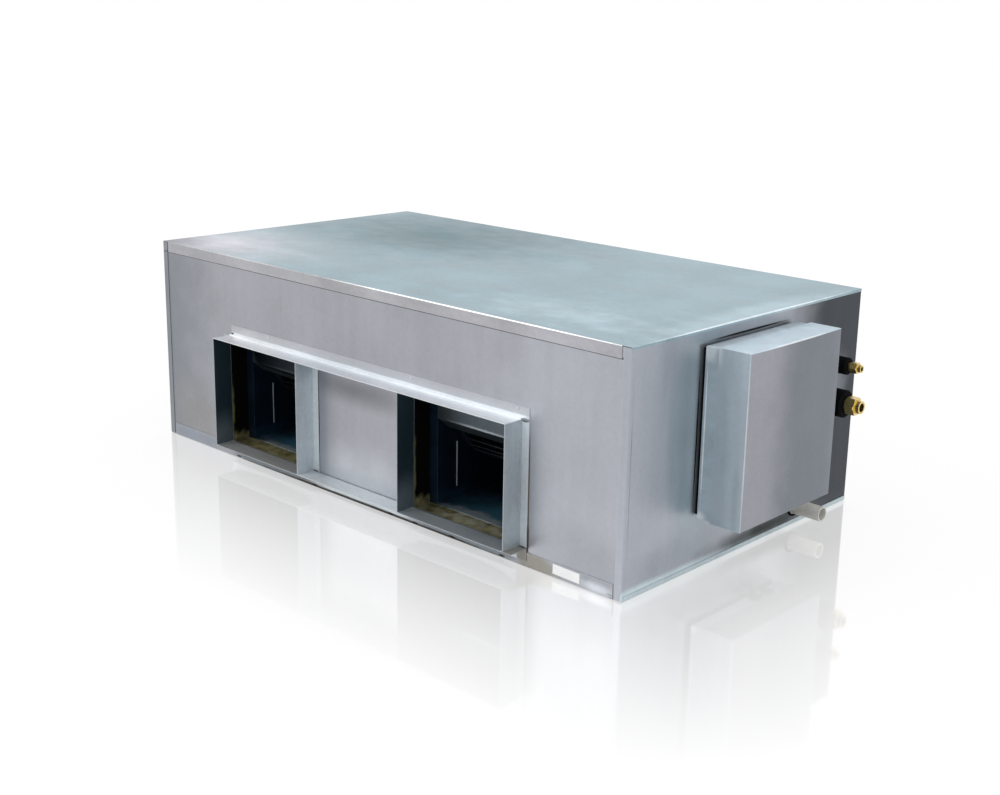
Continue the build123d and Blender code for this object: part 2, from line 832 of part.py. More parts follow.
with BuildPart() as liquid_pipe:
    with BuildLine():
        Polyline((collar_end_x, pipe_y, liquid_z),
                 (liquid_run_x + liquid_corner, pipe_y, liquid_z),
                 (liquid_run_x, pipe_y - liquid_corner, liquid_z),
                 (liquid_run_x, distributor_start_y, liquid_z))
    with BuildSketch(Plane(origin=(collar_end_x, pipe_y, liquid_z), z_dir=(-1, 0, 0))):
        Circle(liquid_pipe_radius)
        Circle(liquid_pipe_radius - liquid_wall, mode=Mode.SUBTRACT)
    sweep(transition=Transition.RIGHT)
save(liquid_pipe, "liquid_pipe")

with BuildPart() as liquid_distributor:
    with BuildSketch(at_y(distributor_start_y)):
        with Locations((liquid_run_x, liquid_z)):
            Circle(liquid_pipe_radius + liquid_wall)
    with BuildSketch(at_y(distributor_end_y + distributor_length)):
        with Locations((liquid_run_x, liquid_z)):
            Circle(distributor_radius)
    loft()
    with BuildSketch(at_y(distributor_end_y + distributor_length)):
        with Locations((liquid_run_x, liquid_z)):
            Circle(distributor_radius)
    extrude(amount=distributor_length)
    for i, up in enumerate(fed_ups):
        entry = coil_point(plate_x, up, tube_rows[2])
        rise = capillary_pitch * (i - (len(fed_ups) - 1) / 2)
        start = Vector(liquid_run_x, distributor_end_y, liquid_z + rise)
        with BuildLine():
            Polyline(start, start - Vector(0, capillary_drop, 0),
                     entry + Vector(capillary_reach, 0, 0), entry)
        with BuildSketch(Plane(origin=start, z_dir=(0, -1, 0))):
            RegularPolygon(capillary_radius, bar_sides)
        sweep(transition=Transition.RIGHT)
save(liquid_distributor, "liquid_distributor")

rear_top = coil_point(0, coil_height, -coil_thick / 2)
rear_low = coil_point(0, coil_height - baffle_lap, -coil_thick / 2)
baffle_y = rear_top.Y + (foam_top - rear_top.Z) * coil_up[1] / coil_up[2]

with BuildPart() as coil_top_baffle:
    with BuildSketch(Plane.YZ.offset(-coil_half_width)):
        add(folded([(baffle_y + baffle_foot, foam_top), (baffle_y, foam_top), (rear_low.Y, rear_low.Z)],
                   sheet, Side.LEFT))
    extrude(amount=2 * coil_half_width)
save(coil_top_baffle, "coil_top_baffle")

# Drain

with BuildPart() as drain_pan:
    with BuildSketch(Plane.XY.offset(pan_bottom)):
        with Locations((0, pan_mid)):
            Rectangle(2 * pan_half_length, pan_depth)
    extrude(amount=pan_top - pan_bottom)
    offset(amount=-pan_sheet, openings=drain_pan.faces().sort_by(Axis.Z)[-1])
    with BuildSketch(Plane.YZ.offset(pan_half_length - pan_sheet)):
        with Locations((drain_y, drain_z)):
            Circle(drain_root_radius)
    extrude(amount=pan_sheet, mode=Mode.SUBTRACT)
save(drain_pan, "drain_pan")

drain_spout_x = side_x + drain_seal_lip
drain_sections = [(pan_half_length - pan_sheet, drain_root_radius, drain_spout_x),
                  (pan_half_length, drain_collar_radius, pan_half_length + drain_collar_width),
                  (drain_spout_x, drain_radius, drain_end_x)]

with BuildPart() as drain_stub:
    for start_x, radius, end_x in drain_sections:
        with BuildSketch(Plane.YZ.offset(start_x)):
            with Locations((drain_y, drain_z)):
                Circle(radius)
        extrude(amount=end_x - start_x)
    with BuildSketch(Plane.YZ.offset(pan_half_length - pan_sheet)):
        with Locations((drain_y, drain_z)):
            Circle(drain_bore)
    extrude(amount=drain_end_x - pan_half_length + pan_sheet, mode=Mode.SUBTRACT)
save(drain_stub, "drain_stub")

seal_sections = [(foam_x, drain_seal_radius, inner_x), (inner_x, drain_hole_radius, side_x),
                 (side_x, drain_seal_radius, drain_spout_x)]

with BuildPart() as drain_seal:
    for start_x, radius, end_x in seal_sections:
        with BuildSketch(Plane.YZ.offset(start_x)):
            with Locations((drain_y, drain_z)):
                Circle(radius)
                Circle(drain_root_radius, mode=Mode.SUBTRACT)
        extrude(amount=end_x - start_x)
save(drain_seal, "drain_seal")

# Flare connections: a rubber collar, a brass union on the pipe and a hexagon nut with the field pipe's bore
flare_sizes = {
    "gas": dict(z=gas_z, pipe=gas_pipe_radius, collar=gas_collar_radius, shoulder=15, thread=13,
                flats=36, shoulder_length=4, hex_length=22, neck=14, neck_length=10, bore_length=14),
    "liquid": dict(z=liquid_z, pipe=liquid_pipe_radius, collar=liquid_collar_radius, shoulder=9, thread=7.9,
                   flats=22, shoulder_length=5, hex_length=16, neck=8, neck_length=8, bore_length=11),
}

for service, size in flare_sizes.items():
    spot = (pipe_y, size["z"])
    hex_start = collar_end_x + size["shoulder_length"]
    nut_end = hex_start + size["hex_length"] + size["neck_length"]
    cavity = nut_end - size["bore_length"] - hex_start
    pipe_bore = size["pipe"] - copper_wall

    with BuildPart() as pipe_collar:
        with BuildSketch(Plane.YZ.offset(foam_x)):
            with Locations(spot):
                Circle(size["collar"])
        extrude(amount=collar_end_x - foam_x)
        chamfer(pipe_collar.edges().group_by(Axis.X)[-1], length=collar_chamfer)
        with BuildSketch(Plane.YZ.offset(foam_x)):
            with Locations(spot):
                Circle(size["pipe"])
        extrude(amount=collar_end_x - foam_x, mode=Mode.SUBTRACT)
    save(pipe_collar, f"{service}_pipe_collar")

    with BuildPart() as union:
        with BuildSketch(Plane.YZ.offset(collar_end_x)):
            with Locations(spot):
                Circle(size["shoulder"])
        extrude(amount=size["shoulder_length"])
        with BuildSketch(Plane.YZ.offset(hex_start)):
            with Locations(spot):
                Circle(size["thread"])
        extrude(amount=cavity - thread_gap)
        with BuildSketch(Plane.YZ.offset(collar_end_x)):
            with Locations(spot):
                Circle(pipe_bore)
        extrude(amount=size["shoulder_length"] + cavity, mode=Mode.SUBTRACT)
    save(union, f"{service}_union")

    with BuildPart() as nut:
        with BuildSketch(Plane.YZ.offset(hex_start)):
            with Locations(spot):
                RegularPolygon(size["flats"] / 2, 6, major_radius=False)
        extrude(amount=size["hex_length"])
        nut_section = Plane(origin=(hex_start, pipe_y, size["z"]), x_dir=(1, 0, 0), z_dir=(0, -1, 0))
        with BuildSketch(nut_section):
            with BuildLine():
                Polyline((0, 0), (0, size["flats"] / 2), (hex_chamfer, size["flats"] / 2 + 2 * hex_chamfer),
                         (size["hex_length"] - hex_chamfer, size["flats"] / 2 + 2 * hex_chamfer),
                         (size["hex_length"], size["flats"] / 2), (size["hex_length"], 0), (0, 0))
            make_face()
        revolve(axis=Axis(nut_section.origin, (1, 0, 0)), mode=Mode.INTERSECT)
        with BuildSketch(Plane.YZ.offset(hex_start + size["hex_length"])):
            with Locations(spot):
                Circle(size["neck"])
        extrude(amount=size["neck_length"])
        with BuildSketch(Plane.YZ.offset(hex_start)):
            with Locations(spot):
                Circle(size["thread"])
        extrude(amount=cavity, mode=Mode.SUBTRACT)
        with BuildSketch(Plane.YZ.offset(hex_start)):
            with Locations(spot):
                Circle(size["pipe"] + shaft_clearance)
        extrude(amount=nut_end - hex_start, mode=Mode.SUBTRACT)
    save(nut, f"{service}_flare_nut")

# Electrical box

with BuildPart() as box_gasket:
    with BuildSketch(Plane.YZ.offset(side_x)):
        with Locations((box_y, box_z)):
            Rectangle(tray_width - 2 * box_gasket_inset, tray_height - 2 * box_gasket_inset)
        with Locations((cable_y, cable_z)):
            Circle(cable_hole_radius, mode=Mode.SUBTRACT)
    extrude(amount=box_gap)
save(box_gasket, "electrical_box_gasket")

with BuildPart() as box_tray:
    with BuildSketch(Plane.YZ.offset(tray_x)):
        with Locations((box_y, box_z)):
            Rectangle(tray_width, tray_height)
    extrude(amount=tray_end_x - tray_x)
    offset(amount=-sheet, openings=box_tray.faces().sort_by(Axis.X)[-1])
    with BuildSketch(Plane.YZ.offset(tray_x)):
        with Locations((cable_y, cable_z)):
            Circle(cable_hole_radius)
    extrude(amount=sheet, mode=Mode.SUBTRACT)
    with BuildSketch(Plane.XY.offset(box_bottom + tray_inset)):
        with Locations(*[(entry_x, y) for y in entry_places]):
            Circle(entry_hole_radius)
    extrude(amount=sheet, mode=Mode.SUBTRACT)
save(box_tray, "electrical_box_tray")

with BuildPart() as box_seal:
    with BuildSketch(Plane.YZ.offset(skirt_start_x + box_seal_inset)):
        with Locations((box_y, box_z)):
            Rectangle(box_width - 2 * sheet, box_height - 2 * sheet)
            Rectangle(tray_width, tray_height, mode=Mode.SUBTRACT)
    extrude(amount=box_seal_width)
save(box_seal, "electrical_box_seal")

with BuildPart() as box_cover:
    with BuildSketch(Plane.YZ.offset(skirt_start_x)):
        with Locations((box_y, box_z)):
            Rectangle(box_width, box_height)
    extrude(amount=box_face_x - skirt_start_x)
    fillet(box_cover.edges().group_by(Axis.X)[-1], radius=bend)
    offset(amount=-sheet, openings=box_cover.faces().sort_by(Axis.X)[0])
save(box_cover, "electrical_box_cover")

tray_back_x = tray_x + sheet

with BuildPart() as cable_grommets:
    with BuildSketch(Plane.YZ.offset(foam_x)):
        with Locations((cable_y, cable_z)):
            Circle(cable_hole_radius)
    extrude(amount=tray_back_x - foam_x)
    with BuildSketch(Plane.YZ.offset(tray_back_x)):
        with Locations((cable_y, cable_z)):
            Circle(cable_hole_radius + grommet_lip)
    extrude(amount=grommet_flange)
    with BuildSketch(Plane.YZ.offset(foam_x)):
        with Locations((cable_y, cable_z)):
            Circle(cable_bore)
    extrude(amount=tray_back_x + grommet_flange - foam_x, mode=Mode.SUBTRACT)
    wall_low = box_bottom + tray_inset
    lip_radius = entry_hole_radius + grommet_lip
    for low_z, radius, height in ((wall_low - grommet_flange, lip_radius, grommet_flange),
                                  (wall_low, entry_hole_radius, sheet),
                                  (wall_low + sheet, lip_radius, grommet_flange)):
        with BuildSketch(Plane.XY.offset(low_z)):
            with Locations(*[(entry_x, y) for y in entry_places]):
                Circle(radius)
                Circle(entry_bore, mode=Mode.SUBTRACT)
        extrude(amount=height)
save(cable_grommets, "cable_grommets")

block_z = box_bottom + block_rise + block_height / 2

with BuildPart() as terminal_block:
    with BuildSketch(Plane.YZ.offset(tray_back_x)):
        with Locations((block_y, block_z)):
            Rectangle(pole_pitch * pole_count + 2 * barrier_thick, block_height)
    extrude(amount=block_depth)
    with BuildSketch(Plane.YZ.offset(tray_back_x + block_depth)):
        with Locations((block_y, block_z)):
            with GridLocations(pole_pitch, 0, pole_count + 1, 1):
                Rectangle(barrier_thick, barrier_height)
    extrude(amount=barrier_depth)
save(terminal_block, "terminal_block")

board_x = tray_back_x + board_post

with BuildPart() as control_board:
    with BuildSketch(Plane.YZ.offset(board_x)):
        with Locations((board_y, board_z)):
            Rectangle(board_width, board_height)
    extrude(amount=board_thick)
    with BuildSketch(Plane.YZ.offset(tray_back_x)):
        with Locations((board_y, board_z)):
            with GridLocations(board_width - 2 * board_margin, board_height - 2 * board_margin, 2, 2):
                RegularPolygon(board_post_radius, bar_sides)
    extrude(amount=board_post)
    with BuildSketch(Plane.YZ.offset(board_x + board_thick)):
        for shift_y, shift_z, width, height in (transformer, *relays, connector_row):
            with Locations((board_y + shift_y, board_z + shift_z)):
                Rectangle(width, height)
    extrude(amount=component_height)
save(control_board, "control_board")

with BuildPart() as fan_capacitor:
    with BuildSketch(Plane.XY.offset(box_bottom + block_rise)):
        with Locations((tray_back_x + capacitor_radius, capacitor_y)):
            Circle(capacitor_radius)
    extrude(amount=capacitor_length)
    chamfer(fan_capacitor.edges().group_by(Axis.Z)[-1], length=capacitor_chamfer)
save(fan_capacitor, "fan_capacitor")
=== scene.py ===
import math
import bmesh
import bpy
from mathutils import Matrix, Vector


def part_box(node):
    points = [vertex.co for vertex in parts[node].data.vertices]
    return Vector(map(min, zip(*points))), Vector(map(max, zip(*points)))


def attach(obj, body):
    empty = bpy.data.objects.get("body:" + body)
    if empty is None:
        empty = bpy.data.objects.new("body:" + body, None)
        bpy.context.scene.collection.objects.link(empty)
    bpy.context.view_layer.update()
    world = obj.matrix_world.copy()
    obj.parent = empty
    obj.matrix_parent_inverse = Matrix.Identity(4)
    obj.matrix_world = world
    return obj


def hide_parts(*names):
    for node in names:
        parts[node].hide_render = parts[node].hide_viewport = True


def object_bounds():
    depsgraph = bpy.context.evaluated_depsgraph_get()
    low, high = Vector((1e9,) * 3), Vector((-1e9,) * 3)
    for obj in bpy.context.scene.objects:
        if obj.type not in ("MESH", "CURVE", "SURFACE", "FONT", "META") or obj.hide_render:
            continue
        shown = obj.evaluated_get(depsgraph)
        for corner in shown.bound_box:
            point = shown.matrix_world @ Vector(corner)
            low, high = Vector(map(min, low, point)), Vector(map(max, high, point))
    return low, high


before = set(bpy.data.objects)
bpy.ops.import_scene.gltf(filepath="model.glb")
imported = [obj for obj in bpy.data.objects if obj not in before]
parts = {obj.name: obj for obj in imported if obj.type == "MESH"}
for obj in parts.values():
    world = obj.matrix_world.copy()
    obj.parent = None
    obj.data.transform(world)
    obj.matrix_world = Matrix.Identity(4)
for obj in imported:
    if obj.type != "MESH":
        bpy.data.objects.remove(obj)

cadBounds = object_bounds()
mm = 0.001

print("frame loaded,", len(parts), "CAD nodes")


def toLinear(hexCode):
    channels = [int(hexCode[i:i + 2], 16) / 255 for i in (1, 3, 5)]
    linear = [c / 12.92 if c <= 0.04045 else ((c + 0.055) / 1.055) ** 2.4 for c in channels]
    return (*linear, 1.0)


def addNode(tree, kind, settings=None, inputs=None):
    node = tree.nodes.new(kind)
    for key, value in (settings or {}).items():
        setattr(node, key, value)
    for key, value in (inputs or {}).items():
        if isinstance(value, bpy.types.NodeSocket):
            tree.links.new(value, node.inputs[key])
        else:
            node.inputs[key].default_value = value
    return node


def startMaterial(name, hexCode, metallic=0.0, roughness=0.5, ior=None):
    material = bpy.data.materials.new(name)
    material.use_nodes = True
    tree = material.node_tree
    shader = tree.nodes["Principled BSDF"]
    shader.inputs["Base Color"].default_value = toLinear(hexCode)
    shader.inputs["Metallic"].default_value = metallic
    shader.inputs["Roughness"].default_value = roughness
    if ior:
        shader.inputs["IOR"].default_value = ior
    place = addNode(tree, "ShaderNodeTexCoord").outputs["Object"]
    return material, tree, shader, place


def makePiece(name, build, material, body, smooth=False):
    mesh = bpy.data.meshes.new(name)
    shape = bmesh.new()
    build(shape)
    bmesh.ops.recalc_face_normals(shape, faces=shape.faces[:])
    for face in shape.faces:
        face.smooth = smooth
    shape.to_mesh(mesh)
    shape.free()
    piece = bpy.data.objects.new(name, mesh)
    bpy.context.scene.collection.objects.link(piece)
    mesh.materials.append(material)
    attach(piece, body)
    return piece


def addSlab(shape, low, high, soft=0.0):
    # a rectangular plate between two corners, with its edges broken by soft
    made = bmesh.ops.create_cube(shape, size=1.0)["verts"]
    size = Vector(high) - Vector(low)
    middle = (Vector(high) + Vector(low)) / 2
    bmesh.ops.transform(shape, matrix=Matrix.Translation(middle) @ Matrix.Diagonal((*size, 1)), verts=made)
    if soft:
        edges = list({edge for vert in made for edge in vert.link_edges})
        bmesh.ops.bevel(shape, geom=edges, offset=soft, segments=2, affect="EDGES", profile=0.5)


def addTurned(shape, outline, place, toward, steps=24):
    # a solid of revolution: outline lists (distance along, radius), closed on the axis at both ends
    turn = Vector((0, 0, 1)).rotation_difference(Vector(toward)).to_matrix()
    rings = []
    for along, radius in outline:
        ring = []
        for i in range(steps):
            angle = 2 * math.pi * i / steps
            spot = Vector((radius * math.cos(angle), radius * math.sin(angle), along))
            ring.append(shape.verts.new(Vector(place) + turn @ spot))
        rings.append(ring)
    for near, far in zip(rings, rings[1:]):
        for i in range(steps):
            j = (i + 1) % steps
            shape.faces.new((near[i], near[j], far[j], far[i]))
    shape.faces.new(list(reversed(rings[0])))
    shape.faces.new(rings[-1])


def addTube(shape, route, radius, steps=12):
    # a round bar along a list of points
    rings = []
    side = None
    for i, point in enumerate(route):
        ahead = route[min(i + 1, len(route) - 1)]
        behind = route[max(i - 1, 0)]
        along = (ahead - behind).normalized()
        side = along.orthogonal().normalized() if side is None else (side - along * side.dot(along)).normalized()
        across = along.cross(side)
        rings.append([shape.verts.new(point + (side * math.cos(a) + across * math.sin(a)) * radius)
                      for a in (2 * math.pi * k / steps for k in range(steps))])
    for near, far in zip(rings, rings[1:]):
        for k in range(steps):
            j = (k + 1) % steps
            shape.faces.new((near[k], near[j], far[j], far[k]))
    shape.faces.new(list(reversed(rings[0])))
    shape.faces.new(rings[-1])


# A place on a sheet where its tone changes: painted light or shade over one area, a painted highlight along a fold, a
# painted shadow line along an edge, or a stain.
# It is an ellipsoid about the middle "at" with half sizes "reach", in millimetres. It is full inside and
# fades over the outer share "soft", and its rim wanders by "wander".
def addPatches(tree, place, colour, patches, wanderMm=60):
    wander = addNode(tree, "ShaderNodeTexNoise",
                     inputs={"Vector": place, "Scale": 1 / (wanderMm * mm), "Detail": 4.0})
    shake = addNode(tree, "ShaderNodeMapRange",
                    inputs={"Value": wander.outputs["Fac"], "From Min": 0.3, "From Max": 0.7,
                            "To Min": -0.22, "To Max": 0.22})
    for patch in patches:
        middle = [value * mm for value in patch["at"]]
        reach = [value * mm for value in patch["reach"]]
        away = addNode(tree, "ShaderNodeVectorMath", {"operation": "SUBTRACT"}, {0: place, 1: middle})
        scaled = addNode(tree, "ShaderNodeVectorMath", {"operation": "DIVIDE"}, {0: away.outputs[0], 1: reach})
        far = addNode(tree, "ShaderNodeVectorMath", {"operation": "LENGTH"}, {0: scaled.outputs[0]})
        rim = addNode(tree, "ShaderNodeMath", {"operation": "MULTIPLY_ADD"},
                      {0: shake.outputs["Result"], 1: patch.get("wander", 0.6), 2: far.outputs["Value"]})
        share = addNode(tree, "ShaderNodeMapRange", {"interpolation_type": "SMOOTHSTEP"},
                        {"Value": rim.outputs[0], "From Min": 1.0, "From Max": 1.0 - patch.get("soft", 0.8),
                         "To Min": 0.0, "To Max": patch.get("share", 1.0)})
        colour = addNode(tree, "ShaderNodeMix", {"data_type": "RGBA"},
                         {"Factor": share.outputs["Result"], "A": colour,
                          "B": toLinear(patch["tone"])}).outputs["Result"]
    return colour


# Hot-dip galvanised steel: a grey metal whose zinc froze in faint crystals and was rolled along the sheet,
# so the eye sees a satin grey with soft streaks, and a painted highlight along each fold and cut edge
def galvanisedSteel(name, tone, patches=(), roughness=0.40, metallic=0.85, mottle=0.05, crystalMm=7,
                    streakMm=36, streakStretch=(0.22, 1.0, 1.0), edgeHighlightTone="#D5D8DC", edgeHighlightShare=0.55):
    material, tree, shader, place = startMaterial(name, tone, metallic=metallic, roughness=roughness)
    crystals = addNode(tree, "ShaderNodeTexVoronoi", inputs={"Vector": place, "Scale": 1 / (crystalMm * mm)})
    crystal = addNode(tree, "ShaderNodeSeparateColor", inputs={"Color": crystals.outputs["Color"]})
    rolled = addNode(tree, "ShaderNodeMapping", inputs={"Vector": place, "Scale": streakStretch})
    streaks = addNode(tree, "ShaderNodeTexNoise",
                      inputs={"Vector": rolled.outputs["Vector"], "Scale": 1 / (streakMm * mm), "Detail": 5.0,
                              "Roughness": 0.62})
    clouds = addNode(tree, "ShaderNodeTexNoise",
                     inputs={"Vector": place, "Scale": 1 / (150 * mm), "Detail": 3.0})
    layers = [(streaks.outputs["Fac"], 0.32, 0.68, mottle), (clouds.outputs["Fac"], 0.35, 0.65, mottle * 0.8),
              (crystal.outputs["Red"], 0.0, 1.0, mottle * 0.45)]
    brightness = 1.0
    for value, low, high, swing in layers:
        part = addNode(tree, "ShaderNodeMapRange",
                       inputs={"Value": value, "From Min": low, "From Max": high, "To Min": -swing, "To Max": swing})
        brightness = addNode(tree, "ShaderNodeMath", {"operation": "ADD"},
                             {0: brightness, 1: part.outputs["Result"]}).outputs[0]
    base = addPatches(tree, place, toLinear(tone), patches)
    mottled = addNode(tree, "ShaderNodeHueSaturation", inputs={"Color": base, "Value": brightness})
    # painted highlight: where the bevelled normal turns from the flat face, at folds and cut edges, the colour goes
    # to the highlight tone
    rounded = addNode(tree, "ShaderNodeBevel", {"samples": 4}, {"Radius": 1.6 * mm})
    facing = addNode(tree, "ShaderNodeNewGeometry")
    flat = addNode(tree, "ShaderNodeVectorMath", {"operation": "DOT_PRODUCT"},
                   {0: rounded.outputs["Normal"], 1: facing.outputs["True Normal"]})
    edge = addNode(tree, "ShaderNodeMapRange",
                   inputs={"Value": flat.outputs["Value"], "From Min": 0.98, "From Max": 0.80,
                           "To Min": 0.0, "To Max": edgeHighlightShare})
    colour = addNode(tree, "ShaderNodeMix", {"data_type": "RGBA"},
                     {"Factor": edge.outputs["Result"], "A": mottled.outputs["Color"], "B": toLinear(edgeHighlightTone)})
    tree.links.new(colour.outputs["Result"], shader.inputs["Base Color"])
    sheen = addNode(tree, "ShaderNodeMapRange",
                    inputs={"Value": streaks.outputs["Fac"], "From Min": 0.3, "From Max": 0.7,
                            "To Min": roughness - 0.06, "To Max": roughness + 0.06})
    tree.links.new(sheen.outputs["Result"], shader.inputs["Roughness"])
    ripple = addNode(tree, "ShaderNodeBump",
                     inputs={"Height": clouds.outputs["Fac"], "Strength": 0.10, "Distance": 1.5 * mm})
    tree.links.new(ripple.outputs["Normal"], shader.inputs["Normal"])
    return material


# Smooth metals, with fine tool or draw marks that break the highlight
def workedMetal(name, hexCode, wornHex, roughness, markMm=2.0, stretch=(1.0, 1.0, 1.0), metallic=1.0):
    material, tree, shader, place = startMaterial(name, hexCode, metallic=metallic, roughness=roughness)
    along = addNode(tree, "ShaderNodeMapping", inputs={"Vector": place, "Scale": stretch})
    marks = addNode(tree, "ShaderNodeTexNoise",
                    inputs={"Vector": along.outputs["Vector"], "Scale": 1 / (markMm * mm), "Detail": 4.0})
    stain = addNode(tree, "ShaderNodeTexNoise", inputs={"Vector": place, "Scale": 1 / (22 * mm), "Detail": 3.0})
    colour = addNode(tree, "ShaderNodeMix", {"data_type": "RGBA"},
                     {"Factor": stain.outputs["Fac"], "A": toLinear(hexCode), "B": toLinear(wornHex)})
    tree.links.new(colour.outputs["Result"], shader.inputs["Base Color"])
    rough = addNode(tree, "ShaderNodeMapRange",
                    inputs={"Value": marks.outputs["Fac"], "To Min": roughness - 0.08, "To Max": roughness + 0.12})
    tree.links.new(rough.outputs["Result"], shader.inputs["Roughness"])
    return material


# Foam, rubber, plastic and enamel: a colour that wanders a little, over pores or moulded grain
def softFinish(name, hexCode, otherHex, roughness, ior, poreMm, poreDepthMm, patchMm=30, patches=()):
    material, tree, shader, place = startMaterial(name, hexCode, roughness=roughness, ior=ior)
    pores = addNode(tree, "ShaderNodeTexVoronoi", inputs={"Vector": place, "Scale": 1 / (poreMm * mm)})
    blotches = addNode(tree, "ShaderNodeTexNoise",
                       inputs={"Vector": place, "Scale": 1 / (patchMm * mm), "Detail": 5.0, "Roughness": 0.6})
    share = addNode(tree, "ShaderNodeMapRange",
                    inputs={"Value": blotches.outputs["Fac"], "From Min": 0.35, "From Max": 0.65})
    colour = addNode(tree, "ShaderNodeMix", {"data_type": "RGBA"},
                     {"Factor": share.outputs["Result"], "A": toLinear(hexCode),
                      "B": toLinear(otherHex)}).outputs["Result"]
    if patches:
        colour = addPatches(tree, place, colour, patches, 24)
    tree.links.new(colour, shader.inputs["Base Color"])
    pits = addNode(tree, "ShaderNodeBump",
                   inputs={"Height": pores.outputs["Distance"], "Strength": 0.6, "Distance": poreDepthMm * mm})
    tree.links.new(pits.outputs["Normal"], shader.inputs["Normal"])
    return material


# Where the sheets are painted with light and shade and the foam stained, in millimetres: the outlets' left and right
# walls, and their middles
leftWallX = (-460.5, 163.5)
rightWallX = (-163.5, 460.5)
outletX = (-312, 312)
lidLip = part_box("top_cover")[0][2] / mm  # the lower edge of the cover's front lip

